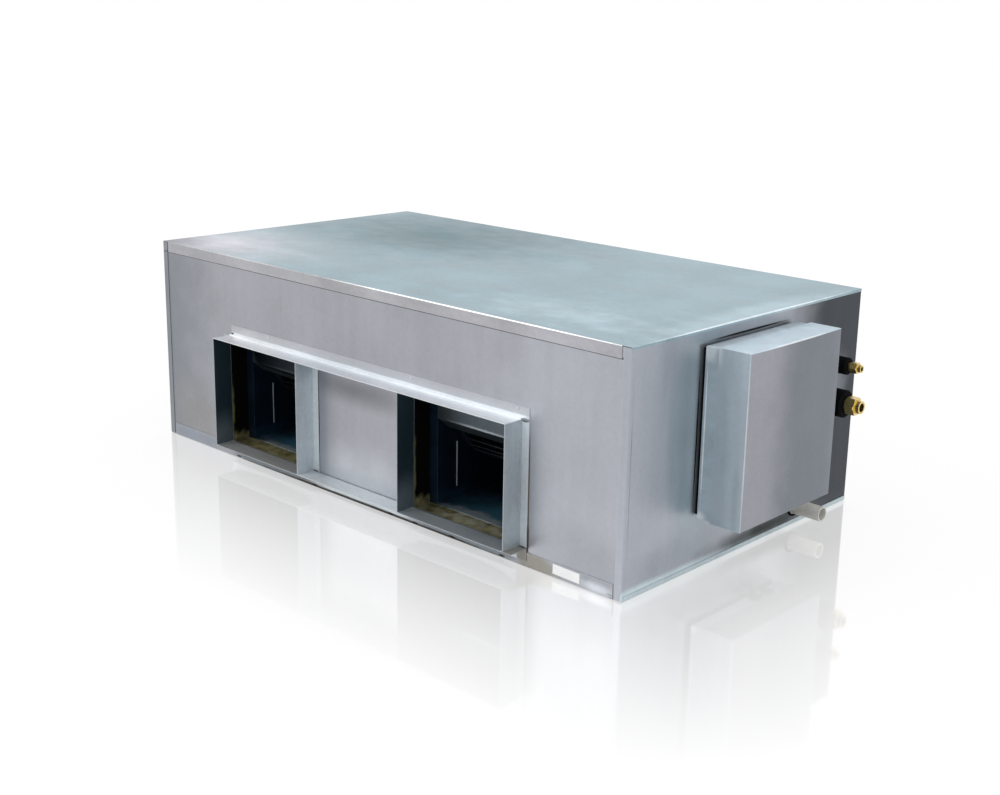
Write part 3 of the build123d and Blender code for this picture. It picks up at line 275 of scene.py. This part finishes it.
sheetPatches = {
    # the cover is painted with light and shade: a lilac light at its front left and paler light to the right, darkest
    # behind that and on its front left corner, a paler reflected grey on its front lip, highlights along its folds,
    # and a shadow in the gap at its front right corner
    "top": [{"at": (-360, 180, 480), "reach": (600, 420, 60), "tone": "#5D7B84", "soft": 1.0, "wander": 0.5},
            {"at": (-650, -340, 480), "reach": (460, 340, 60), "tone": "#C6C8D0", "soft": 1.0, "wander": 0.6},
            {"at": (-600, -290, 480), "reach": (170, 120, 60), "tone": "#DAD9E2", "soft": 1.0, "share": 0.6},
            {"at": (-720, -395, 480), "reach": (170, 150, 12), "tone": "#84858E", "soft": 1.0, "share": 0.9},
            {"at": (470, -270, 480), "reach": (300, 110, 60), "tone": "#A9BEC7", "soft": 1.0, "wander": 1.6},
            {"at": (700, 0, 480), "reach": (60, 430, 60), "tone": "#B3C8D0", "share": 0.6},
            {"at": (-100, -396, 466), "reach": (1600, 4, 26), "tone": "#ADADB1", "soft": 0.3},
            {"at": (600, -396, 466), "reach": (700, 4, 26), "tone": "#B0B0B6", "share": 0.8},
            {"at": (-440, -395, 480), "reach": (330, 2.4, 2.4), "tone": "#CFCFD4", "share": 0.8, "wander": 0.2},
            {"at": (300, -395, 480), "reach": (520, 3.2, 3.2), "tone": "#FFFFFF", "soft": 0.5, "wander": 0.2},
            {"at": (720, 0, 480), "reach": (3.2, 430, 3.2), "tone": "#E6EFF4", "soft": 0.5, "wander": 0.2},
            {"at": (718, -396, 466), "reach": (2, 4, 15), "tone": "#2A2C30", "soft": 0.3, "wander": 0.1}],
    # the front is duller at the left and warm low down; painted shade darkens it under the collar's top, painted
    # light makes it paler at its foot, painted shadow lines run under the cover's lip and along the left outlet's
    # right flange, and brown sealant and dirt mark the right outlet's right flange
    "front": [{"at": (-740, -394, 240), "reach": (330, 60, 900), "tone": "#858A90", "soft": 1.0, "wander": 0.4},
              {"at": (-610, -394, 60), "reach": (160, 60, 130), "tone": "#96938F", "share": 0.5},
              {"at": (620, -394, 240), "reach": (380, 60, 500), "tone": "#AFB2B9", "share": 0.9},
              {"at": (650, -394, 50), "reach": (170, 60, 110), "tone": "#9A9DA4", "share": 0.6},
              {"at": (-20, -394, 250), "reach": (250, 60, 50), "tone": "#7B7E82", "soft": 1.0, "wander": 0.2},
              {"at": (-10, -394, 0), "reach": (260, 60, 165), "tone": "#CDD2D8", "soft": 1.0, "wander": 0.25},
              {"at": (-270, -394, 400), "reach": (3, 60, 60), "tone": "#8A847C", "share": 0.35, "soft": 1.0},
              {"at": (0, -394, lidLip), "reach": (2000, 3, 2.8), "tone": "#66656A", "soft": 0.5, "wander": 0.2},
              {"at": (484, -394, 165), "reach": (2.2, 3, 150), "tone": "#6B604C", "soft": 0.5, "wander": 0.4},
              {"at": (484, -394, 60), "reach": (4, 3, 50), "tone": "#5A4E3A", "soft": 0.8, "wander": 1.5},
              {"at": (-141.5, -394, 165), "reach": (2.2, 3, 150), "tone": "#33393E", "soft": 0.5, "wander": 0.2}],
    # the side is painted with reflections: it mirrors a dark room behind the box and towards the back, a dark one
    # under the box, and the white floor along its foot; painted shadow lines run along the box's top and front edges,
    # and a dark line runs near its front fold
    "side": [{"at": (719, -175, 280), "reach": (90, 125, 300), "tone": "#A2ADB4", "soft": 0.5, "wander": 0.3},
             {"at": (719, 360, 280), "reach": (60, 320, 600), "tone": "#3A3F45", "soft": 0.6, "wander": 0.15},
             {"at": (720, 318, 285), "reach": (6, 62, 95), "tone": "#8B929A", "share": 0.8, "soft": 1.0},
             {"at": (720, -230, 45), "reach": (6, 210, 60), "tone": "#969DA4", "share": 0.7},
             {"at": (720, -395, 0), "reach": (6, 720, 26), "tone": "#C6D5DB", "soft": 0.5, "wander": 0.2},
             {"at": (719, 70, 22), "reach": (60, 275, 34), "tone": "#333B39", "soft": 0.9, "wander": 0.4},
             {"at": (720, -28, 454), "reach": (3, 172, 3.2), "tone": "#0C1014", "soft": 0.4, "wander": 0.1},
             {"at": (720, -186.5, 282), "reach": (3, 3, 178), "tone": "#0C1014", "soft": 0.4, "wander": 0.1},
             {"at": (720, -384, 240), "reach": (3, 1.6, 240), "tone": "#6E737A", "share": 0.7, "soft": 0.6}],
    # the base lip is brown with dirt right of the collar, and black along the floor with dark specks; painted shade
    # darkens it under the outlets and painted light makes it paler between them, a painted highlight shines beyond
    # the label, and painted reflections lie in fine dark lines at its right end and in a pale band along its right
    # side
    "lip": [{"at": (-620, -395, 14), "reach": (140, 6, 26), "tone": "#8E95A0", "share": 0.8},
            {"at": (512, -395, 8), "reach": (66, 6, 30), "tone": "#94918A", "soft": 0.5, "wander": 0.9},
            {"at": (636, -395, 14), "reach": (16, 6, 20), "tone": "#8E949E", "share": 0.6},
            {"at": (660, -395, 11), "reach": (58, 6, 15), "tone": "#D0D4DB", "soft": 1.0},
            {"at": (697, -395, 8), "reach": (20, 6, 1.6), "tone": "#5E636A", "share": 0.7},
            {"at": (703, -395, 3.5), "reach": (16, 6, 1.4), "tone": "#5E636A", "share": 0.7},
            {"at": (720, 0, 4), "reach": (6, 700, 14), "tone": "#B9C7CC", "soft": 0.4},
            {"at": (-312, -396, 10), "reach": (168, 6, 16), "tone": "#7B8287", "soft": 0.3, "wander": 0.2},
            {"at": (0, -396, 10), "reach": (168, 6, 16), "tone": "#C9D2D6", "soft": 0.3, "wander": 0.2},
            {"at": (312, -396, 10), "reach": (168, 6, 16), "tone": "#7B8287", "soft": 0.3, "wander": 0.2},
            {"at": (10, -396, 3), "reach": (490, 6, 5), "tone": "#403E3A", "soft": 0.5, "wander": 0.4},
            {"at": (-80, -396, 0), "reach": (650, 4, 2.8), "tone": "#33312E", "share": 0.9, "soft": 0.5}]
           + [{"at": (x, -396, 4.8), "reach": (12, 6, 2.6), "tone": "#060606", "soft": 0.5, "wander": 0.2}
              for x in (-438, -158, 93, 168, 277, 417)],
    # the box is lilac at its front edge, then banded darker, with a painted pale cold light on its top and front
    # side, a painted highlight at the top of its front side by the panel, and painted highlights along its top and
    # upright front edges
    "box": [{"at": (828, 40, 280), "reach": (20, 175, 900), "tone": "#7B8188", "soft": 0.7, "wander": 0.3},
            {"at": (790, -28, 453), "reach": (90, 400, 3), "tone": "#BACBD6", "soft": 0.3, "wander": 0.1},
            {"at": (790, -186, 280), "reach": (90, 3, 400), "tone": "#BAC6CE", "soft": 0.3, "wander": 0.1},
            {"at": (812, -186, 150), "reach": (14, 3, 150), "tone": "#9AA6AE", "share": 0.6},
            {"at": (752, -186, 440), "reach": (26, 3, 40), "tone": "#E4EAED", "share": 0.8, "wander": 1.8},
            {"at": (828, -185, 280), "reach": (2.4, 2.4, 190), "tone": "#C6CBD0", "soft": 0.6, "wander": 0.2},
            {"at": (828, -28, 452), "reach": (3, 170, 3), "tone": "#E4ECF1", "soft": 0.6, "wander": 0.2}],
    # the tray is painted with highlights on its front corners and along its rim
    "tray": [{"at": (730, -183, 440), "reach": (30, 10, 30), "tone": "#EEF2F4", "share": 0.9, "wander": 1.8},
             {"at": (730, -183, 114), "reach": (22, 10, 18), "tone": "#F4F7F8", "share": 0.9},
             {"at": (732.5, -184, 280), "reach": (2.2, 6, 180), "tone": "#FFFFFF", "soft": 0.5, "wander": 0.2}],
    # the collar's top face is painted bright with highlights as light falls on it, and its foot on the panel painted
    # duller to the right; a painted shadow fills the gap at its right end and a dark spot marks its left end
    "collarTop": [{"at": (0, -393.5, 312), "reach": (2000, 2.2, 17), "tone": "#B3B5BA", "soft": 0.15,
                   "wander": 0.1},
                  {"at": (-380, -393.5, 308), "reach": (190, 2.2, 20), "tone": "#CBCDCF", "wander": 0.8},
                  {"at": (-450, -394, 299), "reach": (9, 3, 3), "tone": "#2A2C2E", "soft": 0.5},
                  {"at": (470, -394, 295), "reach": (12, 4, 3), "tone": "#2A2C2E", "soft": 0.5},
                  {"at": (-400, -420, 293), "reach": (260, 60, 3), "tone": "#FAFBFC", "share": 0.9},
                  {"at": (300, -420, 293), "reach": (330, 60, 3), "tone": "#E4E8EB", "share": 0.8}],
    # the outlets' left walls face into the dark and are painted in shade; the right walls are painted a little
    # darker, most under the collar's top, and their flanges lighter as light falls on them; painted shadows sit at
    # the flanges' corners
    "collarSide": [{"at": (x, -418, 165), "reach": (0.9, 80, 400), "tone": "#22323A", "soft": 0.2, "wander": 0.1}
                   for x in leftWallX]
                  + [{"at": (x, -418, 50), "reach": (0.9, 80, 80), "tone": "#56626A", "wander": 0.1}
                     for x in leftWallX]
                  + [{"at": (x, -418, 292), "reach": (5, 60, 60), "tone": "#8797A1", "share": 0.6}
                     for x in rightWallX]
                  + [{"at": (460.5, -418, 165), "reach": (5, 60, 900), "tone": "#A3ADB4", "soft": 0.2}]
                  + [{"at": (x + 13, -394, 165), "reach": (12, 2, 900), "tone": tone, "soft": 0.2, "wander": 0.1}
                     for x, tone in zip(rightWallX, ("#DCE4E8", "#D0D8DD"))]
                  + [{"at": (x + 10, -394, z), "reach": (14, 4, 3.4), "tone": "#1C1A18", "soft": 0.6}
                     for x in rightWallX for z in (38, 292)],
    # the bottom legs are painted darker inside the outlets, where shade falls, and browner at the right end
    "collarBottom": [{"at": (x, -418, 38), "reach": (157, 80, 20), "tone": tone, "soft": 0.1, "wander": 0.1}
                     for x, tone in zip(outletX, ("#A0A2A2", "#9AA2A8"))]
                    + [{"at": (477, -418, 38), "reach": (24, 80, 60), "tone": "#8B8981", "soft": 0.2}],
    # light falls through the outlets on the first stretch of the scrolls' floor
    "housing": [{"at": (x, -300, 40), "reach": (170, 150, 60), "tone": "#68A8C8", "soft": 1.0} for x in outletX]
               + [{"at": (x, -342, 40), "reach": (150, 24, 14), "tone": "#C6D6DE", "soft": 0.9, "wander": 2.4}
                  for x in outletX],
    # painted highlights along the cut-offs' lower folds, pale on the right and dim on the left, and painted shade
    # over the left cut-off
    "cutoff": [{"at": (-312, -349, 262), "reach": (160, 30, 60), "tone": "#141D24", "soft": 0.2}]
              + [{"at": (x, -349, 227), "reach": (140, 6, 4), "tone": tone, "share": 0.7, "wander": 0.6}
                 for x, tone in zip(outletX, ("#39444A", "#AEB6BB"))],
}

# the foam's patches: a painted shadow blackens its sides in the reveals, over foam that is partly black itself, and
# the olive and pale marks are stains and crust on it
foamShadowAndStainPatches = [{"at": (0, -371, 200), "reach": (2000, 200, 158), "tone": "#070706", "soft": 0.12, "wander": 0.3}]
foamShadowAndStainPatches += [{"at": (x, -391, 110), "reach": (12, 4, 90), "tone": "#5E5E2C", "wander": 2.0} for x in leftWallX]
foamShadowAndStainPatches += [{"at": (-180, -380, 30), "reach": (110, 16, 30), "tone": "#5C5426", "share": 0.8},
                {"at": (312, -371, 30), "reach": (170, 30, 20), "tone": "#9A9B8E", "share": 0.65, "wander": 1.6}]

finishes = {
    "topSheet": galvanisedSteel("galvanisedTopSheet", "#93A9B2", sheetPatches["top"], mottle=0.08),
    "frontSheet": galvanisedSteel("galvanisedFrontSheet", "#A4A5AC", sheetPatches["front"],
                                  streakStretch=(1.0, 1.0, 0.08), mottle=0.045, edgeHighlightShare=0.35),
    "sideSheet": galvanisedSteel("galvanisedSideSheet", "#ABAFB7", sheetPatches["side"],
                                 streakStretch=(1.0, 1.0, 0.10), mottle=0.045),
    "lipSheet": galvanisedSteel("galvanisedBaseSheet", "#A2A5AB", sheetPatches["lip"], mottle=0.06),
    "boxSheet": galvanisedSteel("galvanisedBoxSheet", "#9C9DA5", sheetPatches["box"],
                                streakStretch=(1.0, 1.0, 0.08), mottle=0.05),
    "traySheet": galvanisedSteel("galvanisedTraySheet", "#BAC6CE", sheetPatches["tray"], mottle=0.07),
    "collarTopSheet": galvanisedSteel("galvanisedCollarTop", "#DDE1E5", sheetPatches["collarTop"],
                                      roughness=0.36, edgeHighlightTone="#E2E6E9"),
    "collarSideSheet": galvanisedSteel("galvanisedCollarSide", "#BAC4CB", sheetPatches["collarSide"],
                                       roughness=0.36, metallic=0.3, streakStretch=(1.0, 1.0, 0.15), mottle=0.09),
    "collarBottomSheet": galvanisedSteel("galvanisedCollarBottom", "#CFD6DA", sheetPatches["collarBottom"],
                                         metallic=0.3, mottle=0.07),
    "foldedSheet": galvanisedSteel("galvanisedFoldedSheet", "#8E949B", roughness=0.38, mottle=0.07),
    # the cut-offs' sheet is painted dark grey as they stand in shade inside the outlets, with strong painted
    # highlights on their edges
    "cutoffSheet": galvanisedSteel("galvanisedCutoff", "#555E64", sheetPatches["cutoff"], roughness=0.38,
                                   mottle=0.12, edgeHighlightShare=0.8),
    # the blower's own sheet, painted a dark navy as it sits in shade deep inside the unit, with pale painted
    # highlights on its edges
    "housingSheet": galvanisedSteel("galvanisedHousing", "#22364A", sheetPatches["housing"], roughness=0.42,
                                    mottle=0.10, edgeHighlightTone="#9AA6B0"),
    "wheelSheet": galvanisedSteel("galvanisedWheel", "#3A424A", roughness=0.45, mottle=0.08, edgeHighlightTone="#4A5258"),
    "innerSheet": galvanisedSteel("galvanisedInnerSheet", "#7E8A93", roughness=0.38, mottle=0.06),
    # turned steel, bright along the shaft
    "turnedSteel": workedMetal("turnedSteel", "#B2B2B4", "#9A9A9C", 0.28, 1.0, (12.0, 1.0, 1.0)),
    # aluminium rivet heads, pressed and bright
    "pressedAluminium": workedMetal("pressedAluminium", "#CBCFD3", "#B6BABE", 0.34, 0.8),
    # aluminium fin stock, thin and bright with a blue-white cast
    "finStock": workedMetal("aluminiumFinStock", "#E2E6EA", "#CCD2D8", 0.34, 1.5, metallic=0.4),
    # drawn copper, warm with darker stains where it was brazed
    "drawnCopper": workedMetal("drawnCopper", "#C8835E", "#9C5B3E", 0.32, 2.0),
    # free-machining brass, pale yellow with turned marks
    "machinedBrass": workedMetal("machinedBrass", "#F0DA98", "#D2B66C", 0.24, 0.6, (8.0, 1.0, 1.0)),
    # stoved black enamel over a rolled motor frame
    "motorEnamel": softFinish("stovedEnamel", "#1E1F22", "#2A2B2E", 0.35, 1.5, 1.2, 0.03),
    # moulded nitrile and EPDM, nearly black with a dull skin
    "mouldedRubber": softFinish("mouldedRubber", "#060608", "#0C0D10", 0.8, 1.16, 0.8, 0.05),
    # open-cell foam that aged yellow-brown where it lies flat, and is black on its sides: partly its own dark colour,
    # partly painted shadow in the reveals
    "agedFoamAndShadow": softFinish("agedOpenFoamAndShadow", "#827D5C", "#4C4730", 0.95, 1.12, 2.4, 1.2, 26, foamShadowAndStainPatches),
    # closed-cell lining foam, charcoal and dull
    "liningFoam": softFinish("closedCellFoam", "#2F3134", "#3A3C40", 0.9, 1.4, 1.6, 0.3),
    # rigid PVC, off-white with a low moulded gloss, yellowed a little
    "mouldedPvc": softFinish("mouldedPvc", "#DAD8D3", "#C8C5BE", 0.42, 1.53, 1.0, 0.02),
    # solder mask over glass-fibre board
    "solderMask": softFinish("solderMask", "#1F6B3C", "#185631", 0.4, 1.5, 1.5, 0.03),
    # white vinyl film, matt and very slightly grimed
    "vinylFilm": softFinish("whiteVinylFilm", "#FFFFFF", "#F6F7F8", 0.5, 1.46, 0.5, 0.01, 14),
}

nodeFinish = {
    "topSheet": ["top_cover"],
    "frontSheet": ["front_panel", "left_side_panel", "rear_panel"],
    "sideSheet": ["right_side_panel"],
    "lipSheet": ["base_panel"],
    "boxSheet": ["electrical_box_cover"],
    "traySheet": ["electrical_box_tray"],
    "collarTopSheet": ["collar_top_angle"],
    "collarSideSheet": ["collar_side_angles"],
    "collarBottomSheet": ["collar_bottom_angle"],
    "foldedSheet": ["return_flange"],
    "cutoffSheet": ["left_blower_cutoff", "right_blower_cutoff"],
    "housingSheet": ["left_blower_housing", "right_blower_housing", "blower_inlet_rings"],
    "wheelSheet": ["blower_wheel_blades", "blower_wheel_rings", "blower_wheel_hubs"],
    "innerSheet": ["blower_rails", "motor_cradle", "motor_straps", "motor_pedestal", "evaporator_end_plates",
                   "coil_top_baffle", "drain_pan"],
    "turnedSteel": ["motor_shaft", "motor_bearings"],
    "finStock": ["evaporator_fins"],
    "drawnCopper": ["return_bends", "suction_header", "liquid_distributor", "gas_pipe", "liquid_pipe"],
    "machinedBrass": ["gas_union", "liquid_union", "gas_flare_nut", "liquid_flare_nut"],
    "motorEnamel": ["motor_body", "motor_end_shields"],
    "mouldedRubber": ["gas_pipe_collar", "liquid_pipe_collar", "drain_seal", "cable_grommets",
                      "motor_rubber_rings", "electrical_box_seal", "electrical_box_gasket"],
    "agedFoamAndShadow": ["outlet_gaskets"],
    "liningFoam": ["top_insulation", "side_insulation", "front_insulation", "base_insulation"],
    "mouldedPvc": ["drain_stub", "terminal_block", "fan_capacitor"],
    "solderMask": ["control_board"],
}

for finish, names in nodeFinish.items():
    for name in names:
        mesh = parts[name].data
        mesh.materials.clear()
        mesh.materials.append(finishes[finish])

print("materials on the CAD nodes")


# The bare place of the label on the base lip
labelPlate = {"low": (551, 7), "size": (67, 20), "tiltDeg": 1.0, "thick": 0.35}


def buildLabel(shape):
    width, height = (labelPlate["size"][0] * mm, labelPlate["size"][1] * mm)
    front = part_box("base_panel")[0][1]
    middle = Vector((labelPlate["low"][0] * mm + width / 2, front - labelPlate["thick"] * mm / 2,
                     labelPlate["low"][1] * mm + height / 2))
    addSlab(shape, (-width / 2, -labelPlate["thick"] * mm / 2, -height / 2),
            (width / 2, labelPlate["thick"] * mm / 2, height / 2), 0.12 * mm)
    turn = Matrix.Translation(middle) @ Matrix.Rotation(math.radians(labelPlate["tiltDeg"]), 4, "Y")
    bmesh.ops.transform(shape, matrix=turn, verts=shape.verts[:])


makePiece("label_place", buildLabel, finishes["vinylFilm"], "casing")

# Rivets of the discharge collar
rivets = {"topX": (-314, 155, 452), "topZ": 312, "bottomX": (-314, 155, 452), "bottomZ": 21,
          "radius": 3.4, "height": 1.3}


def buildRivets(shape):
    r, h = rivets["radius"] * mm, rivets["height"] * mm
    dome = [(0, r), (h * 0.45, r * 0.9), (h * 0.8, r * 0.62), (h, r * 0.25)]
    spots = [(x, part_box("front_panel")[0][1] - 1.2 * mm, rivets["topZ"]) for x in rivets["topX"]]
    spots += [(x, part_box("base_panel")[0][1] - 1.2 * mm, rivets["bottomZ"]) for x in rivets["bottomX"]]
    for x, y, z in spots:
        addTurned(shape, dome, (x * mm, y, z * mm), (0, -1, 0), 16)


makePiece("collar_rivets", buildRivets, finishes["pressedAluminium"], "casing", smooth=True)

# Hems on the blower side walls, seen as thin upright lines in the outlets
outletHem = {"fromLip": 100, "low": 66, "high": 165, "width": 2.2, "rise": 1.4}


def buildHems(shape):
    for side in ("left", "right"):
        low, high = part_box(f"{side}_blower_cutoff")
        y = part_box("base_panel")[0][1] + outletHem["fromLip"] * mm
        addSlab(shape, (low[0], y, outletHem["low"] * mm),
                (low[0] + outletHem["rise"] * mm, y + outletHem["width"] * mm, outletHem["high"] * mm), 0.3 * mm)


makePiece("outlet_hems", buildHems, finishes["collarSideSheet"], "casing")

# Fins and tubes of the evaporator
coil = {"footY": 175, "footZ": 70, "leanDeg": 18, "height": 400, "thick": 76, "halfWidth": 600,
        "finPitch": 3.0, "finThick": 0.35, "tubeRows": (-25.4, 0.0, 25.4), "tubeFirst": 24,
        "tubePitch": 32, "tubeCount": 12, "tubeRadius": 4.76, "bendReach": 16, "plate": 1.5}
lean = math.radians(coil["leanDeg"])
coilUp = Vector((0, math.sin(lean), math.cos(lean)))
coilForward = Vector((0, -math.cos(lean), math.sin(lean)))


def coilSpot(x, up, forward):
    foot = Vector((x, coil["footY"], coil["footZ"]))
    return (foot + coilUp * up + coilForward * forward) * mm


def buildFins(shape):
    count = int(2 * coil["halfWidth"] / coil["finPitch"])
    half = coil["thick"] / 2
    for i in range(count):
        x = -coil["halfWidth"] + coil["finPitch"] * (i + 0.5)
        corners = []
        for edge in (-coil["finThick"] / 2, coil["finThick"] / 2):
            for up, forward in ((0, -half), (0, half), (coil["height"], half), (coil["height"], -half)):
                corners.append(shape.verts.new(coilSpot(x + edge, up, forward)))
        a, b = corners[:4], corners[4:]
        shape.faces.new(a)
        shape.faces.new(b)
        for k in range(4):
            j = (k + 1) % 4
            shape.faces.new((a[k], a[j], b[j], b[k]))


fins = makePiece("coil_fins", buildFins, finishes["finStock"], "casing")
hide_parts("evaporator_fins")


def buildTubes(shape):
    for i in range(coil["tubeCount"]):
        for row in coil["tubeRows"]:
            up = coil["tubeFirst"] + coil["tubePitch"] * i
            addTube(shape, [coilSpot(x, up, row) for x in (-coil["halfWidth"], coil["halfWidth"])],
                    coil["tubeRadius"] * mm, 10)


makePiece("coil_tubes", buildTubes, finishes["drawnCopper"], "casing", smooth=True)


def buildBends(shape):
    ups = [coil["tubeFirst"] + coil["tubePitch"] * i for i in range(coil["tubeCount"])]
    rows = coil["tubeRows"]
    edge = coil["halfWidth"] + coil["plate"]
    pairs = [(-1, (up, row), (up + coil["tubePitch"], row)) for up in ups[::2] for row in rows]
    pairs += [(1, (up, rows[1]), (up, rows[0])) for up in ups[::2]]
    pairs += [(1, (up, rows[2]), (up, rows[1])) for up in ups[1::2]]
    for sign, first, second in pairs:
        a, b = coilSpot(sign * edge, *first), coilSpot(sign * edge, *second)
        middle, half = (a + b) / 2, (b - a) / 2
        outward = Vector((sign * coil["bendReach"] * mm, 0, 0))
        route = [middle - half * math.cos(math.pi * k / 12) + outward * math.sin(math.pi * k / 12) for k in range(13)]
        addTube(shape, route, coil["tubeRadius"] * mm, 12)


bends = makePiece("smooth_bends", buildBends, finishes["drawnCopper"], "casing", smooth=True)
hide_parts("return_bends")

print("coil dressed")

# Screws of the electrical box
boxScrews = {"radius": 4.2, "height": 2.2, "inFromSkirt": 6, "inset": 60}


def buildScrews(shape):
    low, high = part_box("electrical_box_cover")
    r, h = boxScrews["radius"] * mm, boxScrews["height"] * mm
    head = [(0, r), (h * 0.5, r * 0.98), (h * 0.85, r * 0.8), (h, r * 0.5)]
    x = low[0] + boxScrews["inFromSkirt"] * mm
    inset = boxScrews["inset"] * mm
    for y in (low[1] + inset, high[1] - inset):
        addTurned(shape, head, (x, y, low[2]), (0, 0, -1), 20)
    for z in (low[2] + inset, high[2] - inset):
        addTurned(shape, head, (x, high[1], z), (0, 1, 0), 20)


makePiece("electrical_box_screws", buildScrews, finishes["turnedSteel"], "casing", smooth=True)

studio = {"floorHalf": 9.0, "floorDrop": 0.6, "reflect": 0.35, "reflectRoughness": 0.05, "fadeOver": 0.46,
          "fadePower": 1.0, "plainNear": 0.8, "plainOver": 1.3}


# A white that light paths meet in the background: full for the camera, mirrors and glass, not for soft light
def seenDirectly(tree):
    rays = addNode(tree, "ShaderNodeLightPath")
    seen = addNode(tree, "ShaderNodeMath", {"operation": "MAXIMUM"},
                   {0: rays.outputs["Is Camera Ray"], 1: rays.outputs["Is Glossy Ray"]})
    return addNode(tree, "ShaderNodeMath", {"operation": "MAXIMUM"},
                   {0: seen.outputs[0], 1: rays.outputs["Is Transmission Ray"]}).outputs[0]


# Polished white laminate: plain white that keeps a soft shadow and mirrors the object faintly near its foot
def floorMaterial():
    material, tree, shader, place = startMaterial("polishedWhiteLaminate", "#F4F4F4", roughness=0.7, ior=1.45)
    glow = addNode(tree, "ShaderNodeEmission", inputs={"Color": (1, 1, 1, 1), "Strength": 1.02})
    casing = (cadBounds[1][0], -cadBounds[0][1], 0)
    outward = addNode(tree, "ShaderNodeVectorMath", {"operation": "ABSOLUTE"}, {0: place})
    beyond = addNode(tree, "ShaderNodeVectorMath", {"operation": "SUBTRACT"}, {0: outward.outputs[0], 1: casing})
    past = addNode(tree, "ShaderNodeVectorMath", {"operation": "MAXIMUM"}, {0: beyond.outputs[0], 1: (0, 0, 0)})
    far = addNode(tree, "ShaderNodeVectorMath", {"operation": "LENGTH"}, {0: past.outputs[0]})
    white = addNode(tree, "ShaderNodeMapRange",
                    inputs={"Value": far.outputs["Value"], "From Min": 0.0, "From Max": studio["plainOver"],
                            "To Min": studio["plainNear"], "To Max": 1.0})
    whiteShare = addNode(tree, "ShaderNodeMath", {"operation": "MULTIPLY"},
                         {0: seenDirectly(tree), 1: white.outputs["Result"]})
    plain = addNode(tree, "ShaderNodeMixShader",
                    inputs={0: whiteShare.outputs[0], 1: shader.outputs["BSDF"], 2: glow.outputs["Emission"]})
    nearness = addNode(tree, "ShaderNodeMapRange",
                       inputs={"Value": far.outputs["Value"], "From Min": 0.0, "From Max": studio["fadeOver"],
                               "To Min": 1.0, "To Max": 0.0})
    faded = addNode(tree, "ShaderNodeMath", {"operation": "POWER"},
                    {0: nearness.outputs["Result"], 1: studio["fadePower"]})
    mirror = addNode(tree, "ShaderNodeMath", {"operation": "MULTIPLY"},
                     {0: faded.outputs[0], 1: studio["reflect"]})
    gloss = addNode(tree, "ShaderNodeBsdfAnisotropic",
                    inputs={"Color": (1, 1, 1, 1), "Roughness": studio["reflectRoughness"]})
    mixed = addNode(tree, "ShaderNodeMixShader",
                    inputs={0: mirror.outputs[0], 1: plain.outputs["Shader"], 2: gloss.outputs["BSDF"]})
    tree.links.new(mixed.outputs["Shader"], tree.nodes["Material Output"].inputs["Surface"])
    return material


def buildFloor():
    half = studio["floorHalf"]
    mesh = bpy.data.meshes.new("studio_floor")
    z = -studio["floorDrop"] * mm
    mesh.from_pydata([(-half, -half, z), (half, -half, z), (half, half, z), (-half, half, z)], [], [(0, 1, 2, 3)])
    mesh.materials.append(floorMaterial())
    floor = bpy.data.objects.new("studio_floor", mesh)
    bpy.context.scene.collection.objects.link(floor)


buildFloor()

world = bpy.data.worlds.new("studioWorld")
bpy.context.scene.world = world
world.use_nodes = True
worldTree = world.node_tree
background = worldTree.nodes["Background"]
background.inputs["Color"].default_value = (1.0, 1.0, 1.0, 1.0)
strength = addNode(worldTree, "ShaderNodeMapRange",
                   inputs={"Value": seenDirectly(worldTree), "To Min": 0.72, "To Max": 1.0})
worldTree.links.new(strength.outputs["Result"], background.inputs["Strength"])

lamps = {
    "keySoftbox": {"place": (-2.6, -3.4, 3.4), "size": 2.6, "watts": 60},
    "fillSoftbox": {"place": (3.6, -1.2, 2.4), "size": 2.4, "watts": 22},
    "topSoftbox": {"place": (0.2, 0.8, 3.6), "size": 3.0, "watts": 30},
}
for name, lamp in lamps.items():
    data = bpy.data.lights.new(name, "AREA")
    data.size = lamp["size"]
    data.energy = lamp["watts"]
    light = bpy.data.objects.new(name, data)
    light.location = lamp["place"]
    light.rotation_euler = (Vector((0, 0, 0.2)) - Vector(lamp["place"])).to_track_quat("-Z", "Y").to_euler()
    bpy.context.scene.collection.objects.link(light)

# The camera stands where the photograph was taken from
view = {"place": (2.173, -2.249, 1.054), "azimuthDeg": 41.4076, "elevationDeg": 14.5543, "rollDeg": 1.5619,
        "focalPx": 1394.755, "centrePx": (553.09, 365.86), "framePx": (1000, 795), "sensorMm": 36}

azimuth, elevation, roll = (math.radians(view[key]) for key in ("azimuthDeg", "elevationDeg", "rollDeg"))
backward = Vector((math.sin(azimuth) * math.cos(elevation), -math.cos(azimuth) * math.cos(elevation), math.sin(elevation)))
right = Vector((math.cos(azimuth), math.sin(azimuth), 0))
upward = backward.cross(right)
turnedRight = right * math.cos(roll) + upward * math.sin(roll)
turnedUp = upward * math.cos(roll) - right * math.sin(roll)

cameraData = bpy.data.cameras.new("photoCamera")
cameraData.sensor_width = view["sensorMm"]
cameraData.lens = view["focalPx"] * view["sensorMm"] / view["framePx"][0]
cameraData.shift_x = (view["framePx"][0] / 2 - view["centrePx"][0]) / view["framePx"][0]
cameraData.shift_y = (view["centrePx"][1] - view["framePx"][1] / 2) / view["framePx"][0]
camera = bpy.data.objects.new("photoCamera", cameraData)
camera.matrix_world = Matrix.Translation(view["place"]) @ Matrix((turnedRight, turnedUp, backward)).transposed().to_4x4()
bpy.context.scene.collection.objects.link(camera)
bpy.context.scene.camera = camera
bpy.context.scene.view_settings.view_transform = "Standard"

print("studio and camera set")
